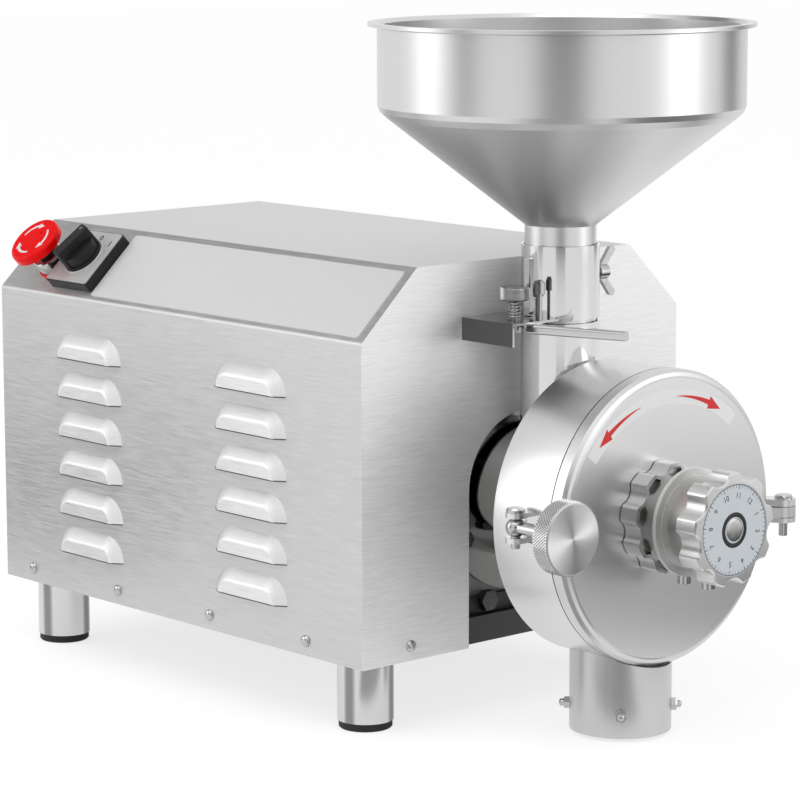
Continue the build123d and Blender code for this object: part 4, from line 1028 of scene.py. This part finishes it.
# ------------------------------------------------------------------ setting scale on the cover
# A white band of vinyl on the cover's face, with a red arrow each way for a coarser or a finer
# setting.
band_white = coated("band_white", (0.93, 0.93, 0.93), 0.3, 1500.0, 0.05, contrast=0.02)
arrow_red = coated("arrow_red", (0.75, 0.01, 0.012), 0.4, 1500.0, 0.05, contrast=0.05)
band_points, band_faces = [], []
band_steps = 48
band_x, band_z, cover_face, band_face = 9, 133, -229.0, -229.14
for step in range(band_steps + 1):
    angle = math.radians(140 - 90 * step / band_steps)
    for radius in (97.0, 87.2):
        for level in (cover_face, band_face):
            band_points.append(
                (band_x + radius * math.cos(angle), level, band_z + radius * math.sin(angle))
            )
for step in range(band_steps):
    k = step * 4
    band_faces += [
        (k + 1, k + 3, k + 7, k + 5),
        (k, k + 4, k + 6, k + 2),
        (k, k + 1, k + 5, k + 4),
        (k + 2, k + 6, k + 7, k + 3),
    ]
band_faces += [(0, 2, 3, 1), tuple(band_steps * 4 + i for i in (0, 1, 3, 2))]
setting_band = mesh_piece("setting_band", band_points, band_faces, band_white)
face_outwards(setting_band)
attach(setting_band, "cover")
facing_front = Matrix.Rotation(math.pi / 2, 3, "X")
for arrow_name, start, sweep in (("coarser", 107, 27), ("finer", 86, -27)):
    arrow = curved_arrow(
        "setting_arrow_" + arrow_name,
        radius=92.1,
        start=start,
        sweep=sweep,
        thin=0.4,
        thick=3.4,
        head=8.6,
        height=-band_face,
        finish=arrow_red,
    )
    place_on(arrow, (band_x, 0, band_z), facing_front)
    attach(arrow, "cover")

# ------------------------------------------------------------------ hinge and clamp
# A loose pin joins drum and cover on the right. On the left an eye bolt swings in between the
# cover's lugs, and its big knurled knob pulls the cover shut.
wear(hardware_steel, "hinge_pin", "clamp_pin", "clamp_bolt")


def turned_steel(name, colour, roughness, fine, x_mm, z_mm, depth=0.15, contrast=0.1, fan=0.7):
    """Steel turned about an axis along Y, so that gloss fans out across its lathe lines."""
    finish, tree, shader = new_finish(name, colour, roughness, Metallic=1.0, Anisotropic=fan)
    grain = grain_round_axis(tree, fine, x_mm, z_mm)
    brush(tree, shader, grain, colour, roughness, depth, contrast)
    place = tree.nodes.new("ShaderNodeTexCoord").outputs["Object"]
    from_axis = {0: place, 1: (x_mm / 1000, 0, z_mm / 1000)}
    away = put(tree, "ShaderNodeVectorMath", from_axis, operation="SUBTRACT").outputs[0]
    along = put(tree, "ShaderNodeVectorMath", {0: away, 1: (0, 1, 0)}, operation="CROSS_PRODUCT")
    tangent = put(
        tree,
        "ShaderNodeVectorTransform",
        {0: along.outputs[0]},
        vector_type="VECTOR",
        convert_from="OBJECT",
        convert_to="WORLD",
    )
    tree.links.new(tangent.outputs[0], shader.inputs["Tangent"])
    return finish


knob_x, knob_z = -95.0, 148.8
knob_steel = turned_steel(
    "knob_steel", (0.70, 0.70, 0.695), 0.3, 2400.0, knob_x, knob_z, depth=0.05, fan=0.97
)
wear(knob_steel, "clamp_knob")
clamp_knurl = grow(
    "clamp_knob_knurl",
    knurling,
    {"Radius": 23.1, "Low": 234.4, "High": 245.7, "Around": 76, "Rows": 10, "Ridge": 1.0},
)
place_on(clamp_knurl, (knob_x, 0, knob_z), facing_front)
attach(clamp_knurl, "clamp_knob")

# ------------------------------------------------------------------ adjusting head
# Turned sleeves, a collar and the lobed lock ring carry the dial. Two knurled socket screws hold
# the sleeve from below.
sleeve_steel = turned_steel(
    "sleeve_steel", (0.42, 0.415, 0.405), 0.3, 1500.0, 0.0, shaft_z, contrast=0.16
)
ring_steel = turned_steel(
    "ring_steel", (0.68, 0.68, 0.675), 0.3, 1800.0, 0.0, shaft_z, contrast=0.08, fan=0.4
)
wear(sleeve_steel, "bearing_sleeve")
# The collar round the sleeve is shaded paler and more matt than the bar on both sides.
sleeve_tree, sleeve_shader, bar_tone = opened(sleeve_steel)
bar_gloss = sleeve_shader.inputs["Roughness"].links[0].from_socket
collar_y, collar_half = -0.2585, 0.00165  # in metres, as the coordinates are
from_collar = calculate(sleeve_tree, "ABSOLUTE", minus(sleeve_tree, axes(sleeve_tree)[1], collar_y))
on_collar = calculate(sleeve_tree, "LESS_THAN", from_collar, collar_half)
collar_tone = between(sleeve_tree, on_collar, bar_tone, (0.86, 0.86, 0.855, 1))
collar_gloss = put(
    sleeve_tree, "ShaderNodeMix", {0: on_collar, 2: bar_gloss, 3: 0.5}, data_type="FLOAT"
).outputs[0]
sleeve_tree.links.new(collar_tone, sleeve_shader.inputs["Base Color"])
sleeve_tree.links.new(collar_gloss, sleeve_shader.inputs["Roughness"])
wear(ring_steel, "lock_ring", "dial_knob")
wear(hardware_steel, "sleeve_screws", "adjusting_spindle")

# ------------------------------------------------------------------ dial
# A lobed hand knob, turned and milled from bar, whose sunk plate is printed with twelve figures and
# sixty ticks round a domed centre.
dial_blue = coated("dial_blue", (0.66, 0.70, 0.74), 0.35, 1500.0, 0.05, contrast=0.03)
wear(dial_blue, "dial_plate")


def tick_tree(name, finish):
    """Ticks round a dial about Z: every fifth one is long."""
    tree, given = new_tree(
        name, Radius="Float", Count="Int", Short="Float", Long="Float", Wide="Float"
    )
    number = tree.nodes.new("GeometryNodeInputIndex").outputs[0]
    angle = calculate(tree, "DIVIDE", times(tree, number, 2 * math.pi), given["Count"])
    fifth = calculate(tree, "LESS_THAN", calculate(tree, "MODULO", number, 5.0), 0.5)
    extra = times(tree, fifth, minus(tree, given["Long"], given["Short"]))
    length = plus(tree, given["Short"], extra)
    spot = on_circle(tree, minus(tree, given["Radius"], times(tree, length, 0.5)), angle)
    spots = put(tree, "GeometryNodePoints", {"Count": given["Count"], "Position": spot}).outputs[0]
    tick = put(tree, "GeometryNodeMeshCube", {"Size": (1.0, 1.0, 1.0)}).outputs["Mesh"]
    turn = put(tree, "FunctionNodeEulerToRotation", {0: place_of(tree, z=angle)}).outputs[0]
    size = place_of(tree, length, times(tree, given["Wide"], plus(tree, 1.0, fifth)), 0.06)
    return set_out(tree, finish, spots, tick, turn, Scale=size)


dial_origin = (0, -294.6, shaft_z)
dial_turn = math.radians(90 - 9)  # where 11 stands
dial_ticks = grow(
    "dial_ticks",
    tick_tree("ticks of the dial", print_black),
    {"Radius": 28.6, "Count": 60, "Short": 1.7, "Long": 2.6, "Wide": 0.24},
)
dial_ticks.data.transform(Matrix.Rotation(dial_turn, 4, "Z"))
place_on(dial_ticks, dial_origin, facing_front)
dial_rim = ring_piece("dial_rim", 28.7, 29.15, 0.0, 0.05, print_black)
dial_eye = ring_piece("dial_eye", 8.4, 11.4, 0.0, 0.05, print_black)
place_on(dial_rim, dial_origin, facing_front)
place_on(dial_eye, dial_origin, facing_front)
dial_hub = turned(
    "dial_hub",
    [(0, 0), (7.6, 0), (7.6, 0.1), (6.9, 0.24), (4.8, 0.34), (2.4, 0.39), (0, 0.4)],
    hardware_steel,
    64,
)
dial_hub.data.transform(Matrix.Scale(1000, 4))
place_on(dial_hub, dial_origin, facing_front)
dial_parts = [dial_ticks, dial_rim, dial_eye, dial_hub]
figure_away = 21.8
for number in range(1, 13):
    figure = written(f"dial_figure_{number}", str(number), 5.2, 0.05, print_black)
    angle = dial_turn - (number - 11) * math.pi / 6
    figure.data.transform(
        Matrix.Translation((figure_away * math.cos(angle), figure_away * math.sin(angle), 0.03))
        @ Matrix.Rotation(angle - math.pi / 2, 4, "Z")
    )
    place_on(figure, dial_origin, facing_front)
    dial_parts.append(figure)
for part in dial_parts:
    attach(part, "dial")
